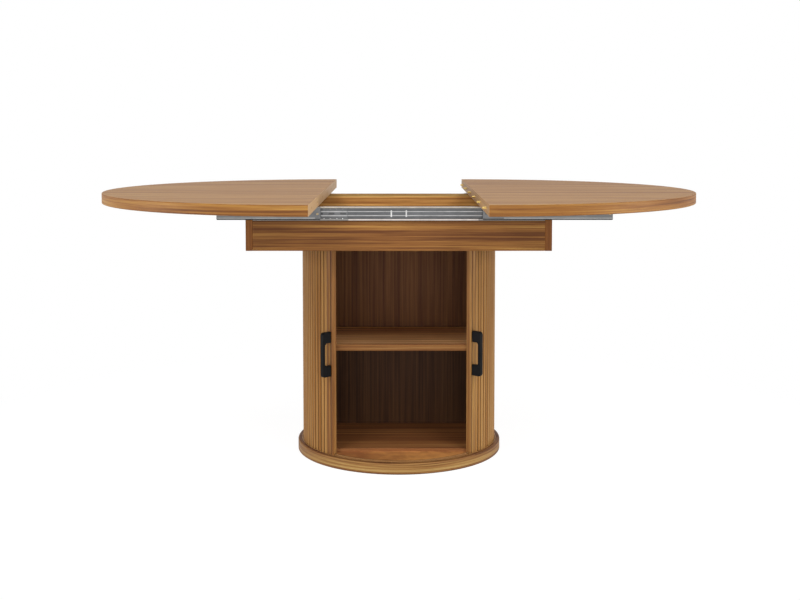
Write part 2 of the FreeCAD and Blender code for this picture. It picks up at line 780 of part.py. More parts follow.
def build_runner(name, slide, angle):
    steel = size("runner_sheet")
    near = runner_face - size("runner_depth")
    x_span = slide.span(slide.inner, slide.outer)
    parts = [
        box(f"{name}_web", x_span, out(runner_face - steel, runner_face), (runner_bottom, runner_top)),
        box(f"{name}_top", x_span, out(near, runner_face), (runner_top - steel, runner_top)),
        box(f"{name}_bottom", x_span, out(near, runner_face), (runner_bottom, runner_bottom + steel)),
    ]
    holes = []
    for index, x in enumerate(slide.plate_holes()):
        start = (x, -(apron_half_depth + runner_face), rail_middle)
        holes.append(rod(f"{name}_hole_{index}", size("plate_screw_radius") + size("screw_fit"),
                         steel, start, "+Y"))
    runner = cut(name, fuse(f"{name}_blank", parts), group(f"{name}_holes", holes))
    node(turn(runner, angle), name)


def build_plate(name, slide, angle):
    """The steel angle that screws a runner to the underside of the top."""
    steel = size("plate_sheet")
    face = runner_face + steel
    x_span = slide.span(slide.inner, slide.outer)
    bottom = rail_bottom + size("plate_rise")
    parts = [
        box(f"{name}_leg", x_span, out(runner_face, face), (bottom, top_underside)),
        box(f"{name}_flange", x_span, out(runner_face, face + size("plate_flange")),
            (top_underside - steel, top_underside)),
        box(f"{name}_lip", x_span, out(runner_face, face + size("plate_lip")),
            (bottom, bottom + size("plate_lip_height"))),
    ]
    holes = []
    for x in slide.plate_holes():
        start = (x, -(apron_half_depth + face), rail_middle)
        holes.append(rod(f"{name}_hole_{len(holes)}", size("plate_screw_radius") + size("screw_gap"),
                         steel, start, "+Y"))
    for x, y in slide.top_screws():
        holes.append(rod(f"{name}_hole_{len(holes)}", size("top_screw_radius") + size("screw_gap"),
                         steel, (x, y, top_underside - steel)))
    plate = cut(name, fuse(f"{name}_blank", parts), group(f"{name}_holes", holes))
    node(turn(plate, angle), name)


def plate_screws(name, slide, angle):
    """Brass screws that join plate and runner; the long runner's first hole stays free."""
    head = size("plate_screw_head_height")
    length = size("plate_sheet") + size("runner_sheet")
    face = apron_half_depth + runner_face + size("plate_sheet") + head
    used = slide.plate_holes() if slide.kind == "short" else slide.plate_holes()[1:]
    screws = []
    for index, x in enumerate(used):
        screws.append(screw(f"{name}_{index}", size("plate_screw_radius"), length,
                            size("plate_screw_head"), head, (x, -face, rail_middle), "+Y"))
    return turn(group(name, screws), angle)


def top_screws(name, slide, angle):
    head = size("top_screw_head_height")
    length = size("plate_sheet") + size("top_screw_bite")
    head_z = top_underside - size("plate_sheet") - head
    screws = []
    for index, (x, y) in enumerate(slide.top_screws()):
        screws.append(screw(f"{name}_{index}", size("top_screw_radius"), length,
                            size("top_screw_head"), head, (x, y, head_z), "+Z"))
    return turn(group(name, screws), angle)


def ball_places(slide):
    """Where the balls stand along a cage, clear of its two ends."""
    length = (slide.cage_outer - slide.cage_inner) * slide.sign
    pitch = size("ball_pitch")
    count = int((length.number - pitch.number) // pitch.number) + 1
    first = slide.cage_inner + (length - pitch * (count - 1)) / 2 * slide.sign
    return [first + pitch * index * slide.sign for index in range(count)]


def build_cage(name, slide, angle):
    """A ball cage: two strips in the ball races, joined by a web behind the runner."""
    steel = size("cage_sheet")
    x_span = slide.span(slide.cage_inner, slide.cage_outer)
    race = size("ball_gap") / 2
    upper = runner_top + race
    lower = runner_bottom - race
    near = size("cage_web")
    far = rail_face - size("rail_sheet") - size("runner_reveal")
    parts = [
        box(f"{name}_web", x_span, out(near, near + steel), (lower - steel / 2, upper + steel / 2)),
        box(f"{name}_upper", x_span, out(near, far), (upper - steel / 2, upper + steel / 2)),
        box(f"{name}_lower", x_span, out(near, far), (lower - steel / 2, lower + steel / 2)),
    ]
    ball_out = (near + steel + far) / 2
    y = -(apron_half_depth + ball_out)
    radius = size("ball_radius") + size("cage_hole_gap")
    holes = []
    balls = []
    for x in ball_places(slide):
        for z in (upper, lower):
            holes.append(rod(f"{name}_hole_{len(holes)}", radius, steel, (x, y, z - steel / 2)))
            ball = document.addObject("Part::Sphere", f"{name}_ball_{len(balls)}")
            bind(ball, "Radius", size("ball_radius"))
            place(ball, x, y, z)
            balls.append(ball)
    cage = cut(name, fuse(f"{name}_blank", parts), group(f"{name}_holes", holes))
    node(turn(cage, angle), name)
    balls_name = name.replace("_cage", "_balls")
    node(turn(group(balls_name, balls), angle), balls_name)


# ---------------------------------------------------------------- top halves

def peg_places():
    count = int(size("peg_count").number)
    first = size("peg_end") - size("top_radius")
    pitch = -first * 2 / (count - 1)
    return [first + pitch * index for index in range(count)]


def build_top(side, sign):
    """A half round panel with the bores in its split face and its underside."""
    label = f"top_{side}"
    disc = rod(f"{label}_disc", size("top_radius"), size("top_thickness"), (0, 0, top_underside))
    disc.Angle = HALF_TURN
    disc.Placement = FreeCAD.Placement(FreeCAD.Vector(), FreeCAD.Rotation(Z_AXIS, -90 * sign))
    place(disc, size("half_shift") * sign, 0, top_underside)
    document.recompute()
    rounded = document.addObject("Part::Fillet", f"{label}_rounded")
    rounded.Base = disc
    radius = size("top_edge_round").number
    rounded.Edges = [(index, radius, radius) for index, edge in enumerate(disc.Shape.Edges, start=1)
                     if isinstance(edge.Curve, Part.Circle)]
    middle = top_underside + size("top_thickness") / 2
    if sign < 0:
        radius = size("peg_radius") + size("socket_clearance")
        depth = size("peg_stickout") + size("socket_spare")
        way = "-X"
    else:
        radius = size("peg_radius") + size("peg_fit")
        depth = size("peg_embed")
        way = "+X"
    bores = []
    for y in peg_places():
        start = (size("half_shift") * sign, y, middle)
        bores.append(rod(f"{label}_bore_{len(bores)}", radius, depth, start, way))
    screw_radius = size("top_screw_radius") + size("screw_fit")
    screw_depth = size("top_screw_bite") + size("bore_spare")
    for slide in (SHORT, LONG):
        flip = 1 if slide.sign == sign else -1
        for x, y in slide.top_screws():
            start = (x * flip, y * flip, top_underside)
            bores.append(rod(f"{label}_bore_{len(bores)}", screw_radius, screw_depth, start))
    node(cut(label, rounded, group(f"{label}_bores", bores)), label)


def build_pegs():
    pegs = []
    tip = size("peg_tip")
    z = top_underside + size("top_thickness") / 2
    face = size("half_shift")
    for y in peg_places():
        length = size("peg_embed") + size("peg_stickout") - tip
        start = face + size("peg_embed")
        shank = rod(f"peg_{len(pegs)}_shank", size("peg_radius"), length, (start, y, z), "-X")
        cone = document.addObject("Part::Cone", f"peg_{len(pegs)}_tip")
        cone.Placement = FreeCAD.Placement(FreeCAD.Vector(), ROD_TURNS["-X"])
        bind(cone, "Radius1", size("peg_radius"))
        bind(cone, "Radius2", size("peg_radius") / 2)
        bind(cone, "Height", tip)
        place(cone, start - length, y, z)
        pegs.append(fuse(f"peg_{len(pegs)}", [shank, cone]))
    node(group("top_pegs", pegs), "top_pegs")


# ---------------------------------------------------------------- doors
# A door is laid out with its handle at the front, at the angle 0, and then turned into place.

def build_door(side, sign):
    name = f"door_{side}"
    rest = (size(f"{side}_door_angle") + size("handle_angle")) * sign
    lead = size("handle_angle")
    trail = size("stile_angle") - lead
    slat_z = (lower_track_floor + size("track_run_gap"), upper_track_floor - size("track_lift_gap"))
    stile_z = (plinth_top + size("stile_gap"), apron_bottom - size("stile_gap"))

    def angles(first, last):
        """Angles counted back from the handle, away from the leading edge."""
        return (first, last) if sign > 0 else (-last, -first)

    tongue = ring(f"{name}_tongue", slat_inner, door_radius, slat_z, angles(-lead, trail))
    thick = ring(f"{name}_thick", stile_inner, door_radius, stile_z, angles(-lead, trail))
    flute = rod(f"{name}_flute", size("stile_flute"), slat_z[1] - slat_z[0], (0, 0, 0))
    place(flute, 0, -door_radius, slat_z[0])
    turned_flute = turn(group(f"{name}_flute_turned", [flute]),
                        (size("stile_flute_angle") - lead) * sign)
    posts = handle_post_heights()
    pass_holes = [rod(f"{name}_bolt_hole_{index}", size("bolt_radius") + size("screw_gap"),
                      size("stile_thickness") + size("bore_spare") * 2,
                      (0, -(stile_inner - size("bore_spare")), z), "-Y") for index, z in enumerate(posts)]
    stile = cut(f"{name}_stile", fuse(f"{name}_stile_blank", [tongue, thick]),
                group(f"{name}_stile_cuts", [turned_flute] + pass_holes))
    node(turn(stile, rest), f"{name}_stile")

    slats = slat_band(f"{name}_slats", slat_inner, size("slat_thickness"), slat_z,
                      size("slat_count"), sign < 0)
    node(turn(slats, rest + (trail + size("slat_pitch") / 2) * sign), f"{name}_slats")

    canvas = ring(f"{name}_canvas", slat_inner - size("canvas_thickness"), slat_inner, stile_z,
                  angles(trail, trail + size("slat_pitch") * size("slat_count")))
    node(turn(canvas, rest), f"{name}_canvas")

    node(turn(build_handle(name, posts), rest), f"{name}_handle")

    screws = []
    seat = along(stile_inner, size("bolt_head_radius"))
    for z in posts:
        start = (0, -(seat - size("bolt_head")), z)
        length = size("stile_thickness") + size("bolt_bite")
        screws.append(screw(f"{name}_bolt_{len(screws)}", size("bolt_radius"), length,
                            size("bolt_head_radius"), size("bolt_head"), start, "-Y"))
    node(turn(group(f"{name}_handle_screws", screws), rest), f"{name}_handle_screws")


def handle_post_heights():
    offset = (size("handle_length") - size("handle_post")) / 2
    return [size("handle_height") - offset, size("handle_height") + offset]


def build_handle(name, posts):
    body = document.addObject("PartDesign::Body", f"{name}_handle_body")
    base = -door_radius
    face = base - size("handle_reach")
    inside = face + size("handle_bar")
    low = size("handle_height") - size("handle_length") / 2
    high = size("handle_height") + size("handle_length") / 2
    rounding = size("handle_round")
    profile = sketch(body, f"{name}_handle_profile", "YZ_Plane", -size("handle_width") / 2, [
        line(base, low),
        curve(face + rounding, low, rounding, (-1, -1)),
        line(face, low + rounding),
        curve(face, high - rounding, rounding, (-1, 1)),
        line(face + rounding, high),
        line(base, high),
        line(base, high - size("handle_post")),
        line(inside, high - size("handle_post")),
        line(inside, low + size("handle_post")),
        line(base, low + size("handle_post")),
    ])
    body.Tip = pad(body, profile, size("handle_width"))
    depth = size("bolt_bite") + size("bore_spare")
    bores = [rod(f"{name}_handle_bore_{index}", size("bolt_radius") + size("screw_fit"), depth,
                 (0, base, z), "-Y") for index, z in enumerate(posts)]
    return cut(f"{name}_handle", body, group(f"{name}_handle_bores", bores))


# ---------------------------------------------------------------- the table

build_plinth()
build_tracks()
build_case()
build_shell()
build_tray()
build_rail("front_fixed_rail", 0)
build_rail("rear_fixed_rail", HALF_TURN)
front_clips, front_screws = rail_small_parts(0)
rear_clips, rear_screws = rail_small_parts(HALF_TURN)
node(group("rail_clips", [front_clips, rear_clips]), "rail_clips")
node(group("rail_screws", [front_screws, rear_screws]), "rail_screws")

# The rear set is turned half round, so a half has a short runner on one side of the table
# and a long one on the other.
SLIDES = {
    "left": (("front_left", SHORT, 0), ("rear_left", LONG, HALF_TURN)),
    "right": (("front_right", LONG, 0), ("rear_right", SHORT, HALF_TURN)),
}
for half, slides in SLIDES.items():
    for prefix, slide, angle in slides:
        build_runner(f"{prefix}_runner", slide, angle)
        build_plate(f"{prefix}_plate", slide, angle)
        build_cage(f"{prefix}_cage", slide, angle)
    node(group(f"{half}_plate_screws", [plate_screws(f"{prefix}_plate_screws", slide, angle)
                                        for prefix, slide, angle in slides]), f"{half}_plate_screws")
    node(group(f"{half}_top_screws", [top_screws(f"{prefix}_top_screws", slide, angle)
                                      for prefix, slide, angle in slides]), f"{half}_top_screws")

build_top("left", -1)
build_top("right", 1)
build_pegs()
build_door("left", -1)
build_door("right", 1)

document.recompute()
for item in document.Objects:
    if "Invalid" in item.State or "Error" in item.State:
        raise RuntimeError(f"{item.Name} failed: {item.State}")
os.makedirs("parts", exist_ok=True)
for item in nodes:
    if item.Shape.isNull() or not item.Shape.isValid() or not item.Shape.Solids:
        raise RuntimeError(f"{item.Label} has no valid solid")
for item in nodes:
    item.Shape.exportStep(f"parts/{item.Label}.step")
    print(item.Label, len(item.Shape.Solids), "solids", round(item.Shape.Volume), "mm3")
print(len(nodes), "nodes")
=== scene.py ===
import json
import math

import bmesh
import bpy
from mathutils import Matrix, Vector


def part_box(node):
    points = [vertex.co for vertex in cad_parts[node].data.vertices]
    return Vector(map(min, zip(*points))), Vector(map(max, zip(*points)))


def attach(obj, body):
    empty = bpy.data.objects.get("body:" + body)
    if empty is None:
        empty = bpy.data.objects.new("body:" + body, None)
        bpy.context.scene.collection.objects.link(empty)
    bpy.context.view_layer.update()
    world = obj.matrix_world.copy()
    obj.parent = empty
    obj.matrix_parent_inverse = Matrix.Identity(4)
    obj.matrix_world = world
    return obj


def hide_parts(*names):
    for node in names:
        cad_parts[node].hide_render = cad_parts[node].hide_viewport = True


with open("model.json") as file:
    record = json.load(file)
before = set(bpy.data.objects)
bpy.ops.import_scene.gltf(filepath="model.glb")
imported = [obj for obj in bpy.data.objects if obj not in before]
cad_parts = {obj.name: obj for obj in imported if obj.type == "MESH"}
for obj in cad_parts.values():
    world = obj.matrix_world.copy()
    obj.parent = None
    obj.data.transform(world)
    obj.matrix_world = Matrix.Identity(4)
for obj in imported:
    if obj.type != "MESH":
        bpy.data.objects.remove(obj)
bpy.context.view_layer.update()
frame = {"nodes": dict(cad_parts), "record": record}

# Looks for the round kitchen table on a drum cabinet: camera, light, floor, materials, and the
# finer pieces that stand for some of the CAD nodes. Metres, same frame as the CAD.

MM = 0.001
X, Y, Z = range(3)
FRONT, REAR = -1, 1
SIGN = {"left": -1, "right": 1}
ENDS = ("front", "rear")
BODY_OF = {node: body for body, members in frame["record"]["behaviour"]["bodies"].items()
           for node in members}


# -------- node helpers

def linear(red, green, blue):
    """A colour given as it looks on screen, 0 to 255, as the linear colour that shaders take."""
    def channel(value):
        value /= 255
        return value / 12.92 if value <= 0.04045 else ((value + 0.055) / 1.055) ** 2.4
    return (channel(red), channel(green), channel(blue), 1)


def tinted(colour, tint):
    return tuple(channel * share for channel, share in zip(colour, (*tint, 1)))


def add_node(tree, kind, settings=None, **inputs):
    """A shader node with its settings and inputs; an input is a socket to link or a plain value.

    An input is named, or numbered as _0, _1 and so on.
    """
    made = tree.nodes.new(kind)
    for name, value in (settings or {}).items():
        setattr(made, name, value)
    for name, value in inputs.items():
        key = int(name[1:]) if name[0] == "_" else name.replace("_", " ")
        if isinstance(value, bpy.types.NodeSocket):
            tree.links.new(value, made.inputs[key])
        else:
            made.inputs[key].default_value = value
    return made


def calculate(tree, operation, first, second=0.0, clamp=False):
    settings = {"operation": operation, "use_clamp": clamp}
    return add_node(tree, "ShaderNodeMath", settings, _0=first, _1=second).outputs[0]


def times(tree, first, second):
    return calculate(tree, "MULTIPLY", first, second)


def scaled(tree, vector, scale, offset=(0, 0, 0)):
    return add_node(tree, "ShaderNodeMapping", None, Vector=vector, Scale=scale,
                    Location=offset).outputs[0]


def noise(tree, vector, scale, detail=3, rough=0.5, distortion=0):
    return add_node(tree, "ShaderNodeTexNoise", None, Vector=vector, Scale=scale, Detail=detail,
                    Roughness=rough, Distortion=distortion).outputs["Fac"]


def spread(tree, value, low, high, to_low=0.0, to_high=1.0, clamp=True):
    """Stretches the range low to high over another range."""
    return add_node(tree, "ShaderNodeMapRange", {"clamp": clamp}, _0=value, _1=low, _2=high,
                    _3=to_low, _4=to_high).outputs[0]


def axes_of(tree, vector):
    """A vector's X, Y and Z."""
    return add_node(tree, "ShaderNodeSeparateXYZ", None, Vector=vector).outputs


def vector_length(tree, vector):
    return add_node(tree, "ShaderNodeVectorMath", {"operation": "LENGTH"},
                    _0=vector).outputs["Value"]


def from_axis(tree, axes):
    """How far out from the drum's axis a place is."""
    flat = add_node(tree, "ShaderNodeCombineXYZ", None, X=axes[X], Y=axes[Y])
    return vector_length(tree, flat.outputs[0])


def ramp(tree, factor, stops):
    made = add_node(tree, "ShaderNodeValToRGB", None, Fac=factor)
    elements = made.color_ramp.elements
    while len(elements) < len(stops):
        elements.new(1)
    for element, (position, colour) in zip(elements, stops):
        element.position = position
        element.color = colour
    return made.outputs[0]


def blend(tree, factor, first, second, mode="MIX"):
    settings = {"data_type": "RGBA", "blend_type": mode}
    return add_node(tree, "ShaderNodeMix", settings, _0=factor, _6=first, _7=second).outputs[2]


def shaded(tree, colour, share):
    """A colour multiplied by a share or by another colour."""
    return blend(tree, 1.0, colour, share, "MULTIPLY")


def blend_vector(tree, factor, first, second):
    return add_node(tree, "ShaderNodeMix", {"data_type": "VECTOR"}, _0=factor, _4=first,
                    _5=second).outputs[1]


def empty_tree(owner):
    """The node tree of a material or of the world, without nodes."""
    owner.use_nodes = True
    owner.node_tree.nodes.clear()
    return owner.node_tree


def new_material(name):
    """A material with its node tree, its shader and the object's own coordinates."""
    material = bpy.data.materials.new(name)
    tree = empty_tree(material)
    shader = tree.nodes.new("ShaderNodeBsdfPrincipled")
    add_node(tree, "ShaderNodeOutputMaterial", None, _0=shader.outputs[0])
    position = tree.nodes.new("ShaderNodeTexCoord").outputs["Object"]
    return material, tree, shader, position


def dress(tree, shader, colour, rough, height, relief, strength):
    """Links a shader's colour, roughness and bump; relief is the bump's depth in metres."""
    tree.links.new(colour, shader.inputs["Base Color"])
    tree.links.new(rough, shader.inputs["Roughness"])
    bump = add_node(tree, "ShaderNodeBump", None, Height=height, Strength=strength,
                    Distance=relief)
    tree.links.new(bump.outputs[0], shader.inputs["Normal"])


# -------- wood

DARK_GRAIN = linear(98, 57, 26)
BROWN_GRAIN = linear(138, 90, 41)
TAN_GRAIN = linear(168, 122, 60)
PALE_GRAIN = linear(190, 149, 82)
GRAINS = ((0.0, DARK_GRAIN), (0.34, BROWN_GRAIN), (0.67, TAN_GRAIN), (1.0, PALE_GRAIN))
PORE = linear(74, 40, 18)
PORE_SHARE = 0.35
# Dark brown of dark joints, of painted shade in the grooves and the flute, and of the painted
# shadow line under the slide.
JOINT_AND_SHADE = linear(64, 36, 17)
# How far coordinates are squeezed along the grain, which draws the streaks out that way.
LONG = 0.012
PULLS = {"X": (LONG, 1, 1), "Y": (1, LONG, 1), "Z": (1, 1, LONG), "ROUND": (LONG, LONG, 1)}
# A seed's shift of the noise along each axis, so that no two boards have the same grain.
SEED_SHIFT = (0.37, 0.71, 0.53)
BAND_SHARE = 0.55
# The least part of its normal along an axis for a face that looks along it.
FACING = 0.7


def normal_part(tree, axis):
    normal = tree.nodes.new("ShaderNodeTexCoord").outputs["Normal"]
    return axes_of(tree, normal)[axis]


def facing_axis(tree, axis):
    """1 on faces that look either way along an axis, 0 elsewhere."""
    facing = calculate(tree, "ABSOLUTE", normal_part(tree, axis))
    return calculate(tree, "GREATER_THAN", facing, FACING)


def looking(tree, axis, way, least=FACING):
    """1 on faces that look one way along an axis, 0 elsewhere."""
    return calculate(tree, "GREATER_THAN", times(tree, normal_part(tree, axis), way), least)


def flow_vector(tree, position, along, ends=None):
    """Coordinates drawn out along the grain; `ends` gives an axis whose faces have another way."""
    flow = scaled(tree, position, PULLS[along])
    if ends is None:
        return flow
    axis, end_along = ends
    return blend_vector(tree, facing_axis(tree, axis), flow,
                        scaled(tree, position, PULLS[end_along]))


def wood_tone(tree, flow, seed, band_scale, fine_scale):
    """Light and dark streaks, 0 to 1, and the fine pores."""
    shifted = scaled(tree, flow, (1, 1, 1), [seed * shift for shift in SEED_SHIFT])
    bands = noise(tree, shifted, band_scale, 3, 0.55, 0.3)
    streaks = noise(tree, shifted, fine_scale, 5, 0.65)
    pores = noise(tree, scaled(tree, shifted, (1.5, 1.5, 1.5)), fine_scale * 4, 2, 0.5)
    tone = calculate(tree, "ADD", times(tree, bands, BAND_SHARE),
                     times(tree, streaks, 1 - BAND_SHARE))
    return tone, spread(tree, pores, 0.56, 0.72)


def wood(name, along, seed, ends=None, bands=60, fine=240, contrast=0.2, level=0.5, gloss=0.22,
         shade=None, lift=None, tint=(1, 1, 1)):
    """Satin walnut laminate. level is 0 for the darkest boards and 1 for the palest.

    bands and fine are the scales of the broad and the fine streaks. shade changes the colour
    from place to place. lift is an axis and how much paler the faces are that look along it, as
    on an edge band. tint multiplies the colours of the grain.
    """
    material, tree, shader, position = new_material(name)
    flow = flow_vector(tree, position, along, ends)
    tone, pores = wood_tone(tree, flow, seed, bands, fine)
    tone = spread(tree, tone, 0.5, 0.6, level, level + contrast, clamp=False)
    if lift is not None:
        axis, amount = lift
        tone = calculate(tree, "ADD", tone, times(tree, facing_axis(tree, axis), amount))
    colour = ramp(tree, tone, [(stop, tinted(grain, tint)) for stop, grain in GRAINS])
    colour = blend(tree, times(tree, pores, PORE_SHARE), colour, PORE)
    if shade is not None:
        colour = shade(tree, position, colour)
    shader.inputs["Specular IOR Level"].default_value = gloss
    dress(tree, shader, colour, spread(tree, tone, 0, 1, 0.56, 0.46),
          calculate(tree, "SUBTRACT", tone, pores), 0.00012, 0.5)
    return material


# -------- other materials

# The stretch over which the slides' rims turn from their painted highlight to painted shade.
SHADOW_EDGE = 3 * MM


def clouded(tree, clouds, colour, share):
    """A colour that is darker by a share where the clouds are thin."""
    return blend(tree, spread(tree, clouds, 0.3, 0.7),
                 linear(*[channel * share for channel in colour]), linear(*colour))


def brushed_steel(name, colour, seed, rough=0.34, shadowed=None, bright=None):
    """Zinc-plated steel: fine rolling lines along X and a cloudy passivation.

    The colour after the roughness is painted shade on the rims beyond the table's opening. bright
    is how far the rims' painted highlight reaches towards the side whose cage shows and towards
    the other side.
    """
    material, tree, shader, position = new_material(name)
    lines = noise(tree, scaled(tree, position, (0.02, 1, 1), (seed, seed * 2, 0)), 900, 3, 0.6)
    clouds = noise(tree, position, 28 + seed, 4, 0.6)
    tint = clouded(tree, clouds, colour, 0.86)
    if shadowed is not None:
        axes = axes_of(tree, position)
        across = times(tree, axes[X], calculate(tree, "SIGN", axes[Y]))
        away = calculate(tree, "ADD",
                         spread(tree, across, bright[0] - SHADOW_EDGE, bright[0]),
                         spread(tree, across, SHADOW_EDGE - bright[1], -bright[1]))
        tint = blend(tree, away, tint, linear(*shadowed))
    shader.inputs["Metallic"].default_value = 1.0
    mixed = calculate(tree, "ADD", times(tree, lines, 0.16), times(tree, clouds, 0.12))
    dress(tree, shader, tint, calculate(tree, "ADD", mixed, rough - 0.14), lines, 0.00004, 0.4)
    return material


def cast_metal(name, colour, rough, grain_scale, metallic=1.0):
    """Brass, screws and balls: small tone changes and a fine surface."""
    material, tree, shader, position = new_material(name)
    tint = clouded(tree, noise(tree, position, 120, 3, 0.6), colour, 0.88)
    grain = noise(tree, position, grain_scale, 3, 0.6)
    shader.inputs["Metallic"].default_value = metallic
    dress(tree, shader, tint, spread(tree, grain, 0.3, 0.7, rough - 0.06, rough + 0.08),
          grain, 0.00003, 0.4)
    return material


def powder_coat(name):
    """Matte black coat of the handles: fine orange peel and a cloudy tone."""
    material, tree, shader, position = new_material(name)
    peel = noise(tree, position, 1400, 3, 0.55)
    clouds = spread(tree, noise(tree, position, 40, 3, 0.6), 0.35, 0.65)
    tint = blend(tree, clouds, linear(9, 9, 9), linear(17, 16, 16))
    shader.inputs["Specular IOR Level"].default_value = 0.08
    dress(tree, shader, tint, spread(tree, peel, 0.3, 0.7, 0.42, 0.56), peel, 0.00006, 0.6)
    return material


def slot_shade_sheet(name):
    """A grey sheet behind the ball cages' slots, which paints the shade in them."""
    material, tree, shader, position = new_material(name)
    grain = noise(tree, position, 900, 2, 0.5)
    clouds = noise(tree, position, 60, 2, 0.5)
    tint = blend(tree, clouds, linear(74, 75, 77), linear(98, 98, 99))
    shader.inputs["Specular IOR Level"].default_value = 0.2
    dress(tree, shader, tint, spread(tree, grain, 0.3, 0.7, 0.5, 0.62), grain, 0.00004, 0.4)
    return material


# The heights between which the lower track's rims lie.
RIM_HEIGHTS = (29.5 * MM, 100 * MM)


def track_plastic(name):
    """Brown moulded channel whose upward rims are pale with a painted highlight."""
    material, tree, shader, position = new_material(name)
    grain = noise(tree, position, 900, 2, 0.5)
    clouds = noise(tree, position, 60, 2, 0.5)
    tint = blend(tree, clouds, linear(150, 106, 62), linear(166, 122, 74))
    height = axes_of(tree, position)[Z]
    rim = times(tree, calculate(tree, "GREATER_THAN", height, RIM_HEIGHTS[0]),
                calculate(tree, "LESS_THAN", height, RIM_HEIGHTS[1]))
    rim = times(tree, rim, facing_axis(tree, Z))
    dress(tree, shader, blend(tree, rim, tint, linear(216, 172, 116)),
          spread(tree, grain, 0.3, 0.7, 0.4, 0.52), grain, 0.00004, 0.4)
    return material


THREAD_PITCH = 1.1 * MM
CLOTH_RADIUS = 258 * MM


def woven_canvas(name):
    """Unbleached cotton backing of the tambour: warp round the drum, weft upright."""
    material, tree, shader, position = new_material(name)
    axes = axes_of(tree, position)
    angle = calculate(tree, "ARCTAN2", axes[X], axes[Y])
    threads = 2 * math.pi / THREAD_PITCH
    warp = calculate(tree, "SINE", times(tree, angle, CLOTH_RADIUS * threads))
    weft = calculate(tree, "SINE", times(tree, axes[Z], threads))
    weave = times(tree, warp, weft)
    fibres = noise(tree, position, 700, 3, 0.6)
    tone = calculate(tree, "ADD", times(tree, weave, 0.25), fibres)
    colour = ramp(tree, tone, [(0.25, linear(140, 124, 96)), (0.85, linear(186, 170, 140))])
    dress(tree, shader, colour, spread(tree, fibres, 0.2, 0.8, 0.8, 0.95), weave, 0.0001, 0.6)
    return material


# -------- camera, light, floor

CAMERA_PLACE = (0.003, -3.2299, 0.9042)
CAMERA_TILT = 86.411
CAMERA_LENS = 52.541
CAMERA_SENSOR = 36
CAMERA_SHIFT = -0.1305


def new_object(name, data):
    """An object, linked into the scene."""
    item = bpy.data.objects.new(name, data)
    bpy.context.scene.collection.objects.link(item)
    return item


def make_camera():
    camera = new_object("camera", bpy.data.cameras.new("camera"))
    camera.location = CAMERA_PLACE
    camera.rotation_euler = (math.radians(CAMERA_TILT), 0, 0)
    camera.data.sensor_width = CAMERA_SENSOR
    camera.data.lens = CAMERA_LENS
    camera.data.shift_y = CAMERA_SHIFT
    camera.data.dof.use_dof = False
    bpy.context.scene.camera = camera


def soft_lamp(name, place, aim, size, watts):
    """A rectangular area lamp that the camera doesn't see."""
    lamp = bpy.data.lights.new(name, "AREA")
    lamp.shape = "RECTANGLE"
    lamp.size, lamp.size_y = size
    lamp.energy = watts
    item = new_object(name, lamp)
    item.location = place
    item.rotation_euler = (Vector(aim) - Vector(place)).to_track_quat("-Z", "Y").to_euler()
    item.visible_camera = False
    return item


def make_lamps():
    """Two keys and two low fills from the front, a lamp overhead and one at either side."""
    for side, sign in SIGN.items():
        soft_lamp(f"key_{side}", (sign * 2.0, -2.8, 2.9), (0, -0.1, 0.4), (1.8, 1.4), 55)
    fill = soft_lamp("front_fill", (0, -3.9, 0.8), (0, 0, 0.45), (3.4, 1.4), 26)
    low = soft_lamp("front_low", (0, -3.6, 0.3), (0, 0, 0.4), (3.4, 0.5), 17)
    fill.visible_glossy = False
    low.visible_glossy = False
    soft_lamp("overhead", (0, 0.6, 3.6), (0, 0, 0.7), (3.0, 2.0), 22)
    soft_lamp("side_left", (-3.2, -0.9, 0.5), (0, 0, 0.4), (1.2, 0.9), 28)
    soft_lamp("side_right", (3.2, -0.9, 0.66), (0, 0, 0.52), (1.2, 0.8), 33)


def seen_directly(tree):
    """1 for rays from the camera and in mirrors and glass, 0 for rays that carry light."""
    rays = tree.nodes.new("ShaderNodeLightPath").outputs
    seen = calculate(tree, "ADD", rays["Is Camera Ray"], rays["Is Glossy Ray"])
    return calculate(tree, "ADD", seen, rays["Is Transmission Ray"], clamp=True)


WHITE = (1, 1, 1, 1)
WORLD_LIGHT = 0.2


def make_world():
    """White to the camera, and a faint even light on the table."""
    world = bpy.data.worlds.new("studio")
    bpy.context.scene.world = world
    tree = empty_tree(world)
    dim = add_node(tree, "ShaderNodeBackground", None, Color=WHITE, Strength=WORLD_LIGHT)
    white = add_node(tree, "ShaderNodeBackground", None, Color=WHITE, Strength=1.0)
    mixed = add_node(tree, "ShaderNodeMixShader", None, _0=seen_directly(tree),
                     _1=dim.outputs[0], _2=white.outputs[0])
    add_node(tree, "ShaderNodeOutputWorld", None, _0=mixed.outputs[0])


FLOOR_DROP = 0.5 * MM
# The distances from the middle between which the floor's faint shadow fades out.
SHADOW_FADE = (0.5, 1.4)


def floor_material():
    """A pale floor that looks white to the camera and still keeps a faint shadow."""
    material = bpy.data.materials.new("studio_floor")
    tree = empty_tree(material)
    plain = add_node(tree, "ShaderNodeBsdfDiffuse", None, Color=(0.65, 0.65, 0.65, 1))
    thin = add_node(tree, "ShaderNodeBsdfDiffuse", None, Color=(0.16, 0.16, 0.16, 1))
    glow = add_node(tree, "ShaderNodeEmission", None, Color=WHITE, Strength=0.93)
    near = add_node(tree, "ShaderNodeAddShader", None, _0=thin.outputs[0], _1=glow.outputs[0])
    far = add_node(tree, "ShaderNodeEmission", None, Color=WHITE, Strength=1.0)
    reach = vector_length(tree, tree.nodes.new("ShaderNodeTexCoord").outputs["Object"])
    shown = add_node(tree, "ShaderNodeMixShader", None, _1=near.outputs[0], _2=far.outputs[0],
                     _0=spread(tree, reach, *SHADOW_FADE))
    mixed = add_node(tree, "ShaderNodeMixShader", None, _0=seen_directly(tree),
                     _1=plain.outputs[0], _2=shown.outputs[0])
    add_node(tree, "ShaderNodeOutputMaterial", None, _0=mixed.outputs[0])
    return material


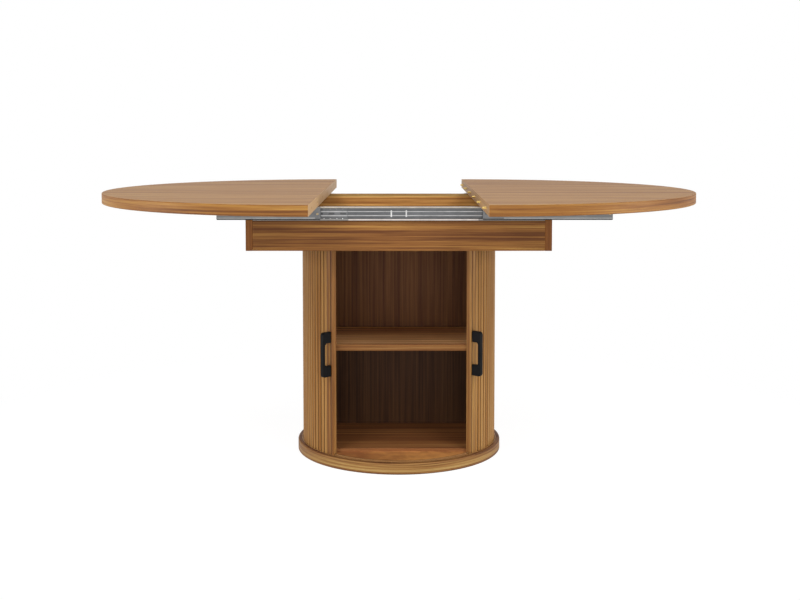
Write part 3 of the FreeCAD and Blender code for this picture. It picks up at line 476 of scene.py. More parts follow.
def make_floor():
    mesh = bpy.data.meshes.new("floor")
    half = 15
    corners = [(-half, -half, 0), (half, -half, 0), (half, half, 0), (-half, half, 0)]
    mesh.from_pydata(corners, [], [(0, 1, 2, 3)])
    floor = new_object("floor", mesh)
    floor.location.z = -FLOOR_DROP
    mesh.materials.append(floor_material())


# -------- shades from place to place, many of them painted light and shade

SLAT_PITCH = math.radians(3)
DOOR_INNER, DOOR_OUTER = 258.5 * MM, 267 * MM
SHELL_INNER, SHELL_OUTER = 243.5 * MM, 248 * MM
DARK_SLAT = (0.8, 0.7, 0.6, 1)
PALE_SLAT = (1, 0.97, 0.95, 1)
# How far inside the slats' outer faces the grooves' painted shade is darkest and begins.
GROOVE_DEPTHS = (2.0 * MM, 0.7 * MM)
# The stretch of the slats that lies in the tray's shadow, and how dark it gets.
UNDER_TRAY = (520 * MM, 576 * MM)
UNDER_TONE = 0.68
# The stiles' leading edges at rest, from the middle of the front.
DOOR_REST = {"left": math.radians(41), "right": math.radians(45.3)}
# How far behind its leading edge a stile's flute and joint lie, and their lines' widths.
STILE_LINES = ((math.radians(1), 1.5 * MM), (math.radians(4), 1.6 * MM))
CUT_FACE = linear(206, 168, 122)
# How much of the pale cut colour each half's cut face takes; the left half's larger share is
# painted light.
CUT_SHARE_WITH_LIGHT = {"left": 0.95, "right": 0.48}
CUT_FACING = 0.99
RAIL_MIDDLE = 673 * MM
RAIL_BOTTOM = 655.5 * MM
# The heights between which the line of shadow under the slide grows.
RAIL_LINE = (RAIL_BOTTOM - 8 * MM, RAIL_BOTTOM - 0.4 * MM)
# How far under the rear board's upper edge its darker band begins and is full.
REAR_BAND = (9 * MM, 5 * MM)
REAR_BAND_TONE = 0.55
# The radii between which the plinth turns from its inside, lightened as painted light, to its
# outer ring.
PLINTH_INSIDE = (250 * MM, 256 * MM)
# The inside's painted light as a gain, which grows over the last stretch before the cabinet floor.
PLINTH_GAIN = (2.4, 3.2)
PLINTH_STRETCH = 45 * MM
# The heights over which the case's painted shade below the shelf fades out, and its tone below
# them.
BELOW_SHELF = (240 * MM, 340 * MM)
BELOW_TONE = 0.42


def slat_shade(facing, first_edge, outer):
    """Each slat gets a tone of its own; the grooves are darker, partly as dark joints and partly
    as painted shade, and the ends under the tray carry a painted shadow.
    """
    def shade(tree, position, colour):
        axes = axes_of(tree, position)
        angle = calculate(tree, "ARCTAN2", axes[X], times(tree, axes[Y], facing))
        turned = calculate(tree, "SUBTRACT", angle, first_edge)
        number = calculate(tree, "FLOOR", calculate(tree, "DIVIDE", turned, SLAT_PITCH))
        random = add_node(tree, "ShaderNodeTexWhiteNoise", {"noise_dimensions": "1D"},
                          W=number).outputs["Value"]
        colour = shaded(tree, colour, ramp(tree, random, [(0.0, DARK_SLAT), (1.0, PALE_SLAT)]))
        colour = shaded(tree, colour, spread(tree, axes[Z], *UNDER_TRAY, 1, UNDER_TONE))
        deepest, shallowest = GROOVE_DEPTHS
        depth = spread(tree, from_axis(tree, axes), outer - deepest, outer - shallowest)
        return blend(tree, depth, JOINT_AND_SHADE, colour)
    return shade


def stile_shade(side):
    """A dark line of painted shade in the stile's flute, and one along its joint with the first
    slat that is partly a dark joint and partly painted shade.
    """
    def shade(tree, position, colour):
        axes = axes_of(tree, position)
        angle = calculate(tree, "ARCTAN2", times(tree, axes[X], SIGN[side]),
                          times(tree, axes[Y], FRONT))
        for behind, width in STILE_LINES:
            away = calculate(tree, "SUBTRACT", angle, DOOR_REST[side] + behind)
            away = times(tree, calculate(tree, "ABSOLUTE", away), DOOR_OUTER)
            colour = blend(tree, spread(tree, away, 0.5 * width, width), JOINT_AND_SHADE, colour)
        return colour
    return shade


def split_shade(side):
    """The cut face towards the table's split is paler than the edge band, and the left half's is
    paler still as painted light.
    """
    def shade(tree, position, colour):
        cut_face = looking(tree, X, -SIGN[side], CUT_FACING)
        return blend(tree, times(tree, cut_face, CUT_SHARE_WITH_LIGHT[side]), colour, CUT_FACE)
    return shade


def painted_face_tint(axis, way, tint):
    """A painted tint for light and shade on the faces that look one way along an axis."""
    def shade(tree, position, colour):
        return blend(tree, looking(tree, axis, way), colour, (*tint, 1), "MULTIPLY")
    return shade


def rear_shade(tree, position, colour):
    """The rear board's inner face is lighter as painted light, with a darker band along its upper
    edge.
    """
    colour = painted_face_tint(Y, FRONT, (1.9, 2.25, 2.65))(tree, position, colour)
    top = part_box("apron_rear_board")[1].z
    band = spread(tree, axes_of(tree, position)[Z], top - REAR_BAND[0], top - REAR_BAND[1],
                  1, REAR_BAND_TONE)
    return shaded(tree, colour, band)


def plinth_painted_light(tree, position, colour):
    """Painted light: the plinth is paler inside the doors' track, most of all before the cabinet
    floor, against the shade of the top and the tray.
    """
    axes = axes_of(tree, position)
    inside = spread(tree, from_axis(tree, axes), *PLINTH_INSIDE, 1, 0)
    floor_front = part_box("floor_board")[0].y
    gain = spread(tree, axes[Y], floor_front - PLINTH_STRETCH, floor_front, *PLINTH_GAIN)
    return blend(tree, inside, colour, shaded(tree, colour, gain))


def rail_shadow(tree, position, colour):
    """A painted shadow line on the tray's wall, right under the slide."""
    line = spread(tree, axes_of(tree, position)[Z], *RAIL_LINE)
    line = times(tree, calculate(tree, "POWER", line, 2.0), 0.95)
    return blend(tree, line, colour, JOINT_AND_SHADE)


def below_shelf_painted_shade(tree, position, colour):
    """Painted shade: the back panel and the sides are darker below the shelf."""
    tone = spread(tree, axes_of(tree, position)[Z], *BELOW_SHELF, BELOW_TONE, 1)
    return shaded(tree, colour, tone)


# -------- finishes of the CAD nodes

def top_finishes():
    """Straight grain on the halves' faces and a band of its own round their edge."""
    return {f"top_{side}": wood(f"top_{side}_wood", "ROUND", seed, (Z, "X"), bands=80, fine=260,
                                contrast=0.32, level=0.41, gloss=0.24, shade=split_shade(side),
                                lift=(Z, 0.09), tint=(1.05, 1.04, 0.94))
            for side, seed in (("left", 3), ("right", 8))}


def tray_finishes():
    front = wood("apron_front_wood", "X", 11, contrast=0.38, level=0.33, shade=rail_shadow)
    rear = wood("apron_rear_wood", "X", 17, contrast=0.42, level=0.7, shade=rear_shade,
                tint=(1.1, 1.02, 1.08))
    ends = wood("apron_end_wood", "Y", 23, (Y, "Z"), contrast=0.14, level=0.28,
                tint=(1, 0.91, 0.86))
    tray = wood("tray_wood", "X", 29, bands=40, fine=220, contrast=0.22, level=0.4)
    return {"apron_front_board": front, "apron_rear_board": rear, "apron_end_left": ends,
            "apron_end_right": ends, "apron_bottom_board": tray, "corner_blocks": tray}


def case_finishes():
    # The uprights' low level and dim tint paint part of the shade inside the cabinet into their
    # colour.
    upright = wood("case_upright_wood", "Z", 31, bands=120, fine=340, level=0.22, gloss=0.2,
                   shade=below_shelf_painted_shade, tint=(0.66, 0.64, 0.84))
    # The shelf's strong tint is painted light on its top; its front face's tint takes it down
    # again as painted shade.
    shelf = wood("shelf_wood", "X", 37, fine=260, contrast=0.4, gloss=0.25,
                 shade=painted_face_tint(Y, FRONT, (0.36, 0.27, 0.15)), tint=(1.9, 2.1, 3.8))
    base = wood("floor_wood", "X", 43, bands=50, contrast=0.28, level=0.2, gloss=0.16,
                tint=(1.12, 1.12, 1.7))
    plinth = wood("plinth_wood", "ROUND", 41, bands=110, fine=300, contrast=0.46, level=0.34,
                  gloss=0.18, shade=plinth_painted_light, lift=(Z, -0.2), tint=(1, 1.12, 1.5))
    uprights = ("side_panel_left", "side_panel_right", "back_panel", "rear_shell",
                "shell_batten_left", "shell_batten_right")
    channels = ("lower_track", "upper_track", "track_stops")
    liner = track_plastic("track_plastic")
    return (dict.fromkeys(uprights, upright) | dict.fromkeys(channels, liner)
            | {"shelf": shelf, "floor_board": base, "plinth": plinth})


def door_finishes():
    finishes = {}
    black = powder_coat("black_coat")
    cloth = woven_canvas("canvas")
    for side, seed, level in (("left", 53, 0.36), ("right", 67, 0.44)):
        stile = wood(f"stile_{side}_wood", "Z", seed, bands=110, fine=300, contrast=0.28,
                     level=level, shade=stile_shade(side), tint=(0.96, 0.97, 1.1))
        finishes |= {f"door_{side}_stile": stile, f"door_{side}_canvas": cloth,
                     f"door_{side}_handle": black}
    for name, facing, outer, seed in (("door_left_slats", FRONT, DOOR_OUTER, 47),
                                      ("door_right_slats", FRONT, DOOR_OUTER, 61),
                                      ("rear_slats", REAR, SHELL_OUTER, 59)):
        first_edge = slat_angles(name, facing)[0] - SLAT_PITCH / 2
        finishes[name] = wood(f"{name}_wood", "Z", seed, bands=110, fine=300, contrast=0.34,
                              level=0.9, gloss=0.07, shade=slat_shade(facing, first_edge, outer),
                              tint=(0.91, 0.88, 1.08))
    return finishes


def metal_finishes():
    zinc = brushed_steel("zinc_steel", (122, 123, 125), 1)
    plate = brushed_steel("plate_steel", (141, 142, 143), 13)
    clip = brushed_steel("clip_steel", (246, 245, 243), 2, 0.26)
    cage = brushed_steel("cage_steel", (128, 129, 131), 3, 0.38)
    screw = cast_metal("screw_steel", (188, 188, 186), 0.32, 900)
    ball = cast_metal("ball_steel", (206, 206, 206), 0.16, 500)
    brass = cast_metal("brass", (250, 216, 126), 0.34, 700, 0.6)
    pale_brass = cast_metal("pale_brass", (206, 186, 148), 0.3, 700)
    finishes = {"rail_clips": clip, "top_pegs": brass}
    finishes |= dict.fromkeys(("plinth_screws", "tray_screws", "rail_screws", "shelf_pins"), screw)
    for end in ENDS:
        finishes[f"{end}_fixed_rail"] = zinc
        for side in SIGN:
            finishes |= {f"{end}_{side}_runner": zinc, f"{end}_{side}_plate": plate,
                         f"{end}_{side}_cage": cage, f"{end}_{side}_balls": ball}
    for side in SIGN:
        finishes |= {f"{side}_plate_screws": pale_brass, f"{side}_top_screws": screw,
                     f"door_{side}_handle_screws": screw}
    return finishes


def finish_nodes():
    """Gives every CAD node its material."""
    finishes = (top_finishes() | tray_finishes() | case_finishes() | door_finishes()
                | metal_finishes())
    for name, material in finishes.items():
        for slot in frame["nodes"][name].material_slots:
            slot.material = material


# -------- pieces finer than the CAD's

MERGE_WITHIN = 0.001 * MM
FLAT_WITHIN = math.radians(0.5)
SHARP_FROM = math.radians(35)
# The shortest edges to ease, as a rule and on the larger boards.
LONG_EDGE, LONGEST_EDGE = 40 * MM, 200 * MM
# An edge lies along an axis when this share of its length runs that way.
STRAIGHT = 0.98
EASE_STEPS = 3


def node_shape(name):
    """A node's mesh with its doubled corners merged and its flat faces whole."""
    shape = bmesh.new()
    shape.from_mesh(frame["nodes"][name].data)
    bmesh.ops.remove_doubles(shape, verts=shape.verts, dist=MERGE_WITHIN)
    bmesh.ops.dissolve_limit(shape, angle_limit=FLAT_WITHIN, verts=shape.verts,
                             edges=shape.edges)
    return shape


def islands(shape):
    """The separate solids of a mesh, as lists of corners."""
    left = set(shape.verts)
    found = []
    for first in shape.verts:
        if first not in left:
            continue
        left.remove(first)
        island = [first]
        for corner in island:
            for edge in corner.link_edges:
                other = edge.other_vert(corner)
                if other in left:
                    left.remove(other)
                    island.append(other)
        found.append(island)
    return found


def middle_of(corners):
    """The middle of the corners' box."""
    spans = [[corner.co[axis] for corner in corners] for axis in (X, Y, Z)]
    return Vector([(min(span) + max(span)) / 2 for span in spans])


def finer_piece(name, shape, slot, *others):
    """Puts a finer mesh in place of a CAD node, with the node's body and material.

    A face's material number is 0 for the node's own material and counts on through the others.
    """
    mesh = bpy.data.meshes.new(f"{name}_fine")
    for material in (frame["nodes"][name].material_slots[0].material, *others):
        mesh.materials.append(material)
    shape.to_mesh(mesh)
    shape.free()
    piece = new_object(f"{name}_fine", mesh)
    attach(piece, BODY_OF[name])
    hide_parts(name)
    return piece


def paint(faces, number):
    for face in faces:
        face.material_index = number


def join_rings(shape, first, second, flat=()):
    """Side faces between two rings of corners, smooth but for the sides listed as flat."""
    for index in range(len(first)):
        after = (index + 1) % len(first)
        side = shape.faces.new((first[index], first[after], second[after], second[index]))
        side.smooth = index not in flat


def add_prism(shape, rings, flat=()):
    """A solid between two rings of places; gives its two end faces back."""
    first, second = [[shape.verts.new(place) for place in ring] for ring in rings]
    join_rings(shape, first, second, flat)
    return shape.faces.new(reversed(first)), shape.faces.new(second)


def block(shape, low, high, number):
    """Adds a box between two corners, with a material number."""
    corners = bmesh.ops.create_cube(shape, size=1)["verts"]
    for corner in corners:
        for axis in (X, Y, Z):
            corner.co[axis] = high[axis] if corner.co[axis] > 0 else low[axis]
    paint({face for corner in corners for face in corner.link_faces}, number)


def long_edges(shape, shortest, along=None):
    """Sharp edges that are long enough to ease, optionally only those along one axis."""
    found = []
    for edge in shape.edges:
        reach = edge.calc_length()
        if len(edge.link_faces) != 2 or reach < shortest:
            continue
        if along is not None:
            run = abs(edge.verts[0].co[along] - edge.verts[1].co[along])
            if run < STRAIGHT * reach:
                continue
        if edge.calc_face_angle(0) > SHARP_FROM:
            found.append(edge)
    return found


def ease(shape, edges, radius):
    made = bmesh.ops.bevel(shape, geom=edges, offset=radius, offset_type="OFFSET",
                           segments=EASE_STEPS, profile=0.5, affect="EDGES", clamp_overlap=True)
    for face in made["faces"]:
        face.smooth = True


# -------- slats and canvases

# The gap between two slats at their backs.
SLAT_GAP = 0.235 * MM
SLAT_CROWN = 3.2 * MM
# How far the crown stays inside the outer radius.
CROWN_SLACK = 0.05 * MM
# Below 1 the round face is fuller than an ellipse.
CROWN_POWER = 0.9
SLAT_STEPS = 12


def slat_angles(name, facing):
    """The slats' angles about the drum's axis, counted from the front or the rear."""
    shape = node_shape(name)
    middles = [middle_of(island) for island in islands(shape)]
    shape.free()
    return sorted(math.atan2(middle.x, middle.y * facing) for middle in middles)


def slat_outline(inner, outer):
    """A slat's section across its width: a flat back, short sides and a round face."""
    half = (inner * SLAT_PITCH - SLAT_GAP) / 2
    shoulder = outer - SLAT_CROWN
    crown = SLAT_CROWN - CROWN_SLACK
    outline = [(-half, inner), (half, inner)]
    for step in range(SLAT_STEPS + 1):
        turn = math.pi * step / SLAT_STEPS
        across = math.copysign(abs(math.cos(turn)) ** CROWN_POWER, math.cos(turn))
        outline.append((half * across, shoulder + crown * math.sin(turn) ** CROWN_POWER))
    return outline


def add_slat(shape, outline, angle, facing, low, high):
    """One slat: an upright prism with a flat back and flat sides."""
    outward = Vector((math.sin(angle), math.cos(angle) * facing, 0))
    sideways = Vector((math.cos(angle), -math.sin(angle) * facing, 0))
    rings = [[sideways * across + outward * reach + Vector((0, 0, z))
              for across, reach in outline] for z in (low, high)]
    ends = add_prism(shape, rings, flat=(0, 1, len(outline) - 1))
    # Sharp edges keep the flat ends out of the round face's shading.
    for end in ends:
        for edge in end.edges:
            edge.smooth = False


def make_slats(name, facing, inner, outer):
    """Round-faced slats with a groove between each two."""
    low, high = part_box(name)
    outline = slat_outline(inner, outer)
    shape = bmesh.new()
    for angle in slat_angles(name, facing):
        add_slat(shape, outline, angle, facing, low.z, high.z)
    bmesh.ops.recalc_face_normals(shape, faces=shape.faces)
    finer_piece(name, shape, "slat_wood")


CANVAS_MIDDLE = 258.2 * MM
CANVAS_HALF = 0.22 * MM
CANVAS_BULGE = 0.2 * MM
CANVAS_STEPS = 6
HEM_HEIGHT = 12 * MM
HEM_FOLD = 0.07 * MM


def canvas_face(shape, heights, start, steps, way):
    """One face of the canvas as a grid of corners; way is -1 for the inner one."""
    rows = []
    for height, fold in heights:
        row = []
        for step in range(steps + 1):
            angle = start + SLAT_PITCH * step / CANVAS_STEPS
            bulge = CANVAS_BULGE * abs(math.cos(math.pi * step / CANVAS_STEPS))
            reach = CANVAS_MIDDLE - bulge + way * (CANVAS_HALF + fold)
            row.append(shape.verts.new((math.sin(angle) * reach, math.cos(angle) * FRONT * reach,
                                        height)))
        rows.append(row)
    for lower, upper in zip(rows, rows[1:]):
        for step in range(steps):
            shape.faces.new((lower[step], lower[step + 1], upper[step + 1],
                             upper[step])).smooth = True
    return rows


def border(rows):
    """The corners round a grid, in order."""
    right = [row[-1] for row in rows[1:-1]]
    left = [row[0] for row in rows[1:-1]]
    return rows[0] + right + rows[-1][::-1] + left[::-1]


def make_canvas(side):
    """A door's backing: cloth glued to every slat, folded double at its upper and lower hems.

    It bulges a little at the joints, where the door's bend leaves it slack.
    """
    name = f"door_{side}_canvas"
    low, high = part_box(name)
    angles = slat_angles(f"door_{side}_slats", FRONT)
    steps = CANVAS_STEPS * len(angles)
    heights = [(low.z, HEM_FOLD), (low.z + HEM_HEIGHT, HEM_FOLD), (low.z + HEM_HEIGHT + MM, 0),
               (high.z - HEM_HEIGHT - MM, 0), (high.z - HEM_HEIGHT, HEM_FOLD), (high.z, HEM_FOLD)]
    shape = bmesh.new()
    inner, outer = [border(canvas_face(shape, heights, angles[0] - SLAT_PITCH / 2, steps, way))
                    for way in (-1, 1)]
    join_rings(shape, inner, outer, flat=range(len(inner)))
    bmesh.ops.recalc_face_normals(shape, faces=shape.faces)
    cloth = finer_piece(name, shape, "canvas")


# -------- boards and handles

def make_eased(name, slot, radius, shortest=LONG_EDGE, along=None):
    """The node's own shape with its long edges eased."""
    shape = node_shape(name)
    ease(shape, long_edges(shape, shortest, along), radius)
    finer_piece(name, shape, slot)


def make_boards():
    for end in ENDS:
        make_eased(f"apron_{end}_board", "apron_wood", 1.0 * MM)
    for side in SIGN:
        make_eased(f"apron_end_{side}", "apron_wood", 1.2 * MM)
        make_eased(f"side_panel_{side}", "case_wood", 0.8 * MM)
        make_eased(f"door_{side}_stile", "slat_wood", 0.9 * MM, LONGEST_EDGE, Z)
        make_handle(side)
    make_eased("shelf", "case_wood", 0.8 * MM, LONGEST_EDGE, X)
    make_eased("floor_board", "case_wood", 0.8 * MM, LONGEST_EDGE, X)


HANDLE_REACH = 29 * MM
HANDLE_BAR = 7 * MM
HANDLE_FOOT = 29 * MM
HANDLE_WIDTH = 10.5 * MM
OUTER_ROUND, INNER_ROUND = 6.5 * MM, 4 * MM
HANDLE_EASE = 1.5 * MM
CORNER_STEPS = 5


def rounded_outline(corners):
    """A closed outline of square corners, given as (across, up, radius of the rounding)."""
    outline = []
    for index, (across, up, radius) in enumerate(corners):
        corner = Vector((across, up))
        if radius == 0:
            outline.append(corner)
            continue
        before = (Vector(corners[index - 1][:2]) - corner).normalized()
        after = (Vector(corners[(index + 1) % len(corners)][:2]) - corner).normalized()
        middle = corner + (before + after) * radius
        for step in range(CORNER_STEPS + 1):
            turn = math.pi / 2 * step / CORNER_STEPS
            outline.append(middle - after * radius * math.cos(turn)
                           - before * radius * math.sin(turn))
    return outline


def handle_outline(low, high):
    """A bridge between two heights, seen from the side."""
    face = DOOR_OUTER + HANDLE_REACH
    inside = face - HANDLE_BAR
    return rounded_outline([
        (DOOR_OUTER, low, 0), (face, low, OUTER_ROUND), (face, high, OUTER_ROUND),
        (DOOR_OUTER, high, 0), (DOOR_OUTER, high - HANDLE_FOOT, 0),
        (inside, high - HANDLE_FOOT, INNER_ROUND),
        (inside, low + HANDLE_FOOT, INNER_ROUND), (DOOR_OUTER, low + HANDLE_FOOT, 0)])


def make_handle(side):
    """A cast bridge handle: round outer corners, soft inner ones and eased edges."""
    name = f"door_{side}_handle"
    low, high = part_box(name)
    middle = (low + high) / 2
    outward = Vector((middle.x, middle.y, 0)).normalized()
    sideways = Vector((-outward.y, outward.x, 0))
    shape = bmesh.new()
    rings = [[outward * point.x + sideways * offset + Vector((0, 0, point.y))
              for point in handle_outline(low.z, high.z)]
             for offset in (-HANDLE_WIDTH / 2, HANDLE_WIDTH / 2)]
    ends = add_prism(shape, rings)
    ease(shape, [edge for end in ends for edge in end.edges], HANDLE_EASE)
    bmesh.ops.recalc_face_normals(shape, faces=shape.faces)
    finer_piece(name, shape, "black_metal")


# -------- slides

TRAY_WALL = 272 * MM
# The rims carry a painted highlight between the top's two halves and painted shade beyond them.
OPEN_HALF = 203 * MM
# Towards the side whose cage shows, the lower rim's painted highlight reaches up to here only;
# beyond lies painted shadow of the top.
LOW_RIM_END = 129 * MM
# Half the rail's height without its rims.
WEB_HALF_HEIGHT = 14.2 * MM
# How far from the tray's wall a face has to be to belong to the rail's beads.
BEAD_DEPTH = 1.7 * MM
BEND_RADIUS = 0.4 * MM
# How high over the rail's bottom its lip and its bend end, and how much each is raised.
LIP, LIP_RAISE = 2 * MM, 0.8 * MM
LIP_BEND, BEND_RAISE = 3.1 * MM, 1.9 * MM
# The material numbers of the rail's parts.
WEB, UPPER_RIM, BEADS, LOWER_RIM = range(4)


def rail_part(face):
    """The material number of a face of the rail."""
    middle = face.calc_center_median()
    if abs(middle.z - RAIL_MIDDLE) > WEB_HALF_HEIGHT:
        return UPPER_RIM if middle.z > RAIL_MIDDLE else LOWER_RIM
    return BEADS if abs(middle.y) > TRAY_WALL + BEAD_DEPTH else WEB


def round_bends(shape):
    """Rounds the bends of sheet steel, which run along X."""
    ease(shape, long_edges(shape, LONG_EDGE, X), BEND_RADIUS)


def fold_lip(shape):
    """The rail's lower lip is a little taller and its bend stands clear of the wall below."""
    for corner in shape.verts:
        if corner.co.z < RAIL_BOTTOM + LIP:
            corner.co.z += LIP_RAISE
        elif corner.co.z < RAIL_BOTTOM + LIP_BEND:
            corner.co.z += BEND_RAISE


def make_rail(name, rim, bead, low_rim):
    """The fixed rail of a slide, whose rims and beads are pale as painted highlights."""
    shape = node_shape(name)
    fold_lip(shape)
    round_bends(shape)
    for face in shape.faces:
        face.material_index = rail_part(face)
    finer_piece(name, shape, "zinc_steel", rim, bead, low_rim)


def make_runner(name):
    shape = node_shape(name)
    round_bends(shape)
    finer_piece(name, shape, "zinc_steel")


# The plate's inner end is bent down a little, so that it slides in under the other half.
PLATE_DIP = 0.15 * MM
DIP_LENGTH = 4 * MM
PLATE_THICKNESS = 1.5 * MM
# Heights of the plate's bead, pale as a painted highlight, and of the dark strip along its foot, a
# painted shadow.
PLATE_BEAD = (661.2 * MM, 663.6 * MM)
PLATE_SHADOW_STRIP = (658.0 * MM, 661.0 * MM)
BEAD_PROUD, SHADOW_STRIP_PROUD = 0.5 * MM, 0.9 * MM
BEAD_START = {"left": 212 * MM, "right": 266 * MM}


def add_strip(shape, low, high, start, heights, proud, number):
    """A strip on the plate's upright face, from `start` off the table's middle to its far end."""
    end = math.copysign(1, low.y)
    side = math.copysign(1, low.x + high.x)
    face = min(abs(low.y), abs(high.y)) + PLATE_THICKNESS
    far = max(abs(low.x), abs(high.x)) - MM
    along = sorted((side * start, side * far))
    across = sorted((end * (face - MM), end * (face + proud)))
    block(shape, (along[0], across[0], heights[0]), (along[1], across[1], heights[1]), number)


def make_plate(name, side, bead, shadow_strip):
    """The steel angle under a half of the top, with a pressed bead in a painted highlight and a
    dark strip along its foot as a painted shadow.
    """
    low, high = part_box(name)
    near = min(abs(low.x), abs(high.x))
    bent = node_shape(name)
    round_bends(bent)
    # A copy takes the next faces in the same order in every run.
    shape = bent.copy()
    bent.free()
    for corner in shape.verts:
        if abs(corner.co.x) < near + DIP_LENGTH and corner.co.z > high.z - MM:
            corner.co.z -= PLATE_DIP
    add_strip(shape, low, high, BEAD_START[side], PLATE_BEAD, BEAD_PROUD, 1)
    add_strip(shape, low, high, near + MM, PLATE_SHADOW_STRIP, SHADOW_STRIP_PROUD, 2)
    finer_piece(name, shape, "zinc_steel", bead, shadow_strip)


def cut_away(shape, cutter):
    """The shape without the space that the cutter takes."""
    items = []
    for source in (shape, cutter):
        mesh = bpy.data.meshes.new("carving")
        source.to_mesh(mesh)
        source.free()
        items.append(new_object("carving", mesh))
    base, tool = items
    modifier = base.modifiers.new("cut", "BOOLEAN")
    modifier.object = tool
    modifier.operation = "DIFFERENCE"
    modifier.solver = "EXACT"
    carved = bmesh.new()
    carved.from_object(base, bpy.context.evaluated_depsgraph_get())
    for item in items:
        mesh = item.data
        bpy.data.objects.remove(item)
        bpy.data.meshes.remove(mesh)
    return carved


# Depths from the tray's wall: the cage's web, the grey strip of painted shade behind it and the
# ribs on its face.
CAGE_WEB = (3.2 * MM, 4.0 * MM)
CAGE_STRIP = (2.5 * MM, 3.25 * MM)
CAGE_RIBS = (CAGE_WEB[1] - 0.3 * MM, CAGE_WEB[1] + 0.35 * MM)
SLOT_LENGTH = 15 * MM
SLOT_PITCH = 29.6 * MM
SLOT_HALF_HEIGHT = 2.3 * MM
STRIP_HALF_HEIGHT = 3.5 * MM
RIB_OFFSET = 5.2 * MM
RIB_HALF_WIDTH = 1.2 * MM


def rail_block(shape, along, depths, end, middle, half_height, number=0):
    """A block along the rail, between two depths from the tray's front or rear wall."""
    faces = sorted(end * (TRAY_WALL + depth) for depth in depths)
    block(shape, (along[0], faces[0], middle - half_height),
          (along[1], faces[1], middle + half_height), number)


def slot_cutter(low, high, end):
    """The cage's slots, spaced evenly about its middle."""
    cutter = bmesh.new()
    count = int((high - low - SLOT_LENGTH) / SLOT_PITCH) + 1
    first = (low + high) / 2 - SLOT_PITCH * (count - 1) / 2
    for index in range(count):
        x = first + SLOT_PITCH * index
        rail_block(cutter, (x - SLOT_LENGTH / 2, x + SLOT_LENGTH / 2),
                   (CAGE_WEB[0] - MM, CAGE_WEB[1] + MM), end, RAIL_MIDDLE, SLOT_HALF_HEIGHT)
    return cutter


def make_cage(name, bead, strip):
    """The ball cage: slots in its web, a grey strip behind them as painted shade, and a rib on
    either side that is pale as a painted highlight.
    """
    low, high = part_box(name)
    end = math.copysign(1, low.y)
    shape = cut_away(node_shape(name), slot_cutter(low.x, high.x, end))
    paint(shape.faces, 0)
    for offset in (-RIB_OFFSET, RIB_OFFSET):
        rail_block(shape, (low.x + MM, high.x - MM), CAGE_RIBS, end, RAIL_MIDDLE + offset,
                   RIB_HALF_WIDTH, 1)
    rail_block(shape, (low.x + 2 * MM, high.x - 2 * MM), CAGE_STRIP, end, RAIL_MIDDLE,
               STRIP_HALF_HEIGHT, 2)
    finer_piece(name, shape, "zinc_steel", bead, strip)


def make_slides():
    # The pale rims, beads and plate beads are painted highlights, the rims' dull stretches beyond
    # the opening are painted shade, and the plate's dark strip and the cages' grey strips are
    # painted shade too.
    rim = brushed_steel("zinc_rim", (203, 192, 176), 5, 0.3, (168, 158, 148),
                        (OPEN_HALF, OPEN_HALF))
    low_rim = brushed_steel("zinc_low_rim", (228, 218, 211), 5, 0.3, (150, 147, 143),
                            (LOW_RIM_END, OPEN_HALF))
    bead = brushed_steel("zinc_bead", (208, 208, 207), 7, 0.3)
    plate_bead = brushed_steel("plate_bead", (196, 197, 196), 9, 0.32)
    # A near-black strip under each plate, standing for the shadow there as painted shadow.
    shadow_strip = brushed_steel("plate_shadow_strip", (30, 30, 31), 11, 0.5)
    strip = slot_shade_sheet("cage_strip")
    for end in ENDS:
        make_rail(f"{end}_fixed_rail", rim, bead, low_rim)
        for side in SIGN:
            make_runner(f"{end}_{side}_runner")
            make_plate(f"{end}_{side}_plate", side, plate_bead, shadow_strip)
            make_cage(f"{end}_{side}_cage", bead, strip)


# -------- screws

SCREW_SIDES = 32
# How far out each ring of a screw's head is, and how high the dome stands there.
HEAD_RINGS = ((0.14, 1.0), (0.28, 0.99), (0.42, 0.96), (0.56, 0.92), (0.7, 0.84), (0.84, 0.7),
              (0.94, 0.5), (1.0, 0.22), (1.0, 0.0))
# The cross recess: its middle, how deep it is there, and how far its arms reach and rise.
RECESS_MIDDLE, RECESS_DEPTH = 0.2, 0.6
ARM_REACH, ARM_DEPTH, ARM_RISE = 0.6, 0.5, 0.8
ARM_PITCH = SCREW_SIDES // 4
SHANK_SHARE = 0.5
# Corners beyond this share of a screw's radius are on its head's rim.
RIM_SHARE = 0.9


def recess_depth(reach, step):
    """How deep the cross recess is at a ring and side of the head, as a share of its height."""
    if reach < RECESS_MIDDLE:
        return RECESS_DEPTH
    from_arm = min(step % ARM_PITCH, ARM_PITCH - step % ARM_PITCH)
    return ARM_DEPTH * (1 - reach / ARM_RISE) if from_arm <= 1 and reach < ARM_REACH else 0


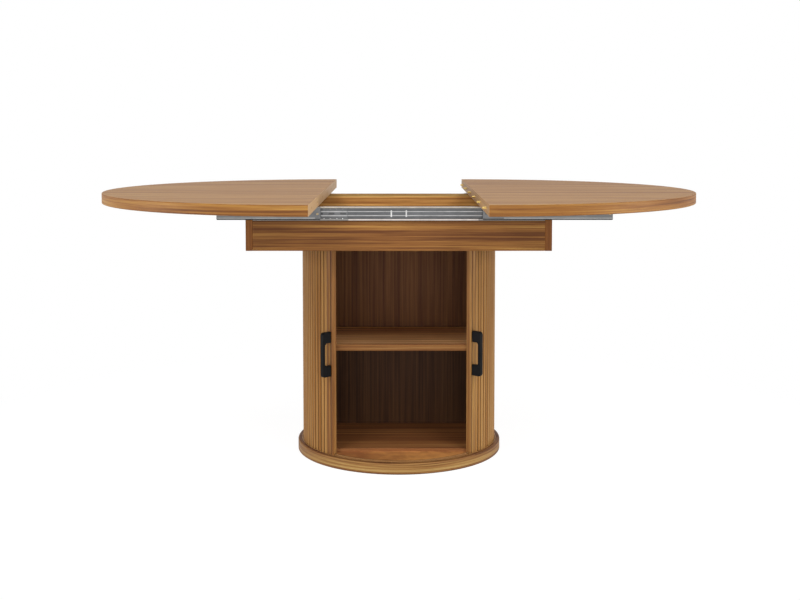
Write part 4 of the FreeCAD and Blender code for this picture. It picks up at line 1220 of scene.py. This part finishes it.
def add_pan_screw(shape, seat, out, radius, height, length):
    """A pan-head screw with a cross recess; out points away from the wood."""
    side = out.orthogonal().normalized()
    other = out.cross(side)
    turns = [math.tau * step / SCREW_SIDES for step in range(SCREW_SIDES)]
    ways = [side * math.cos(turn) + other * math.sin(turn) for turn in turns]
    rows = []
    for reach, dome in HEAD_RINGS:
        rises = [height * max(0, dome - recess_depth(reach, step)) for step in range(SCREW_SIDES)]
        rows.append([shape.verts.new(seat + way * radius * reach + out * rise)
                     for way, rise in zip(ways, rises)])
    for depth in (0, length):
        rows.append([shape.verts.new(seat + way * (radius * SHANK_SHARE) - out * depth)
                     for way in ways])
    for upper, lower in zip(rows, rows[1:]):
        for step in range(SCREW_SIDES):
            after = (step + 1) % SCREW_SIDES
            shape.faces.new((upper[step], lower[step], lower[after], upper[after])).smooth = True
    shape.faces.new(rows[0])
    shape.faces.new(reversed(rows[-1]))


def make_screws(name, axis, slot):
    """The node's plain screws as pan-head screws, in the same places and of the same size."""
    source = node_shape(name)
    shape = bmesh.new()
    for island in islands(source):
        middle = middle_of(island)
        offsets = [corner.co - middle for corner in island]
        for offset in offsets:
            offset[axis] = 0
        radius = max(offset.length for offset in offsets)
        rim = [corner.co[axis] for corner, offset in zip(island, offsets)
               if offset.length > RIM_SHARE * radius]
        whole = [corner.co[axis] for corner in island]
        way = 1 if sum(rim) / len(rim) > middle[axis] else -1
        out = Vector([way if index == axis else 0 for index in (X, Y, Z)])
        seat = middle.copy()
        seat[axis] = min(rim) if way > 0 else max(rim)
        height = max(rim) - min(rim)
        add_pan_screw(shape, seat, out, radius, height, max(whole) - min(whole) - height)
    source.free()
    bmesh.ops.recalc_face_normals(shape, faces=shape.faces)
    finer_piece(name, shape, slot)


bpy.context.scene.view_settings.view_transform = "Standard"
make_camera()
make_world()
make_lamps()
make_floor()
finish_nodes()
for half in SIGN:
    make_slats(f"door_{half}_slats", FRONT, DOOR_INNER, DOOR_OUTER)
make_slats("rear_slats", REAR, SHELL_INNER, SHELL_OUTER)
for half in SIGN:
    make_canvas(half)
make_boards()
make_slides()
for half in SIGN:
    make_screws(f"{half}_plate_screws", Y, "brass")
    make_screws(f"{half}_top_screws", Z, "screw_steel")
make_screws("tray_screws", Z, "screw_steel")
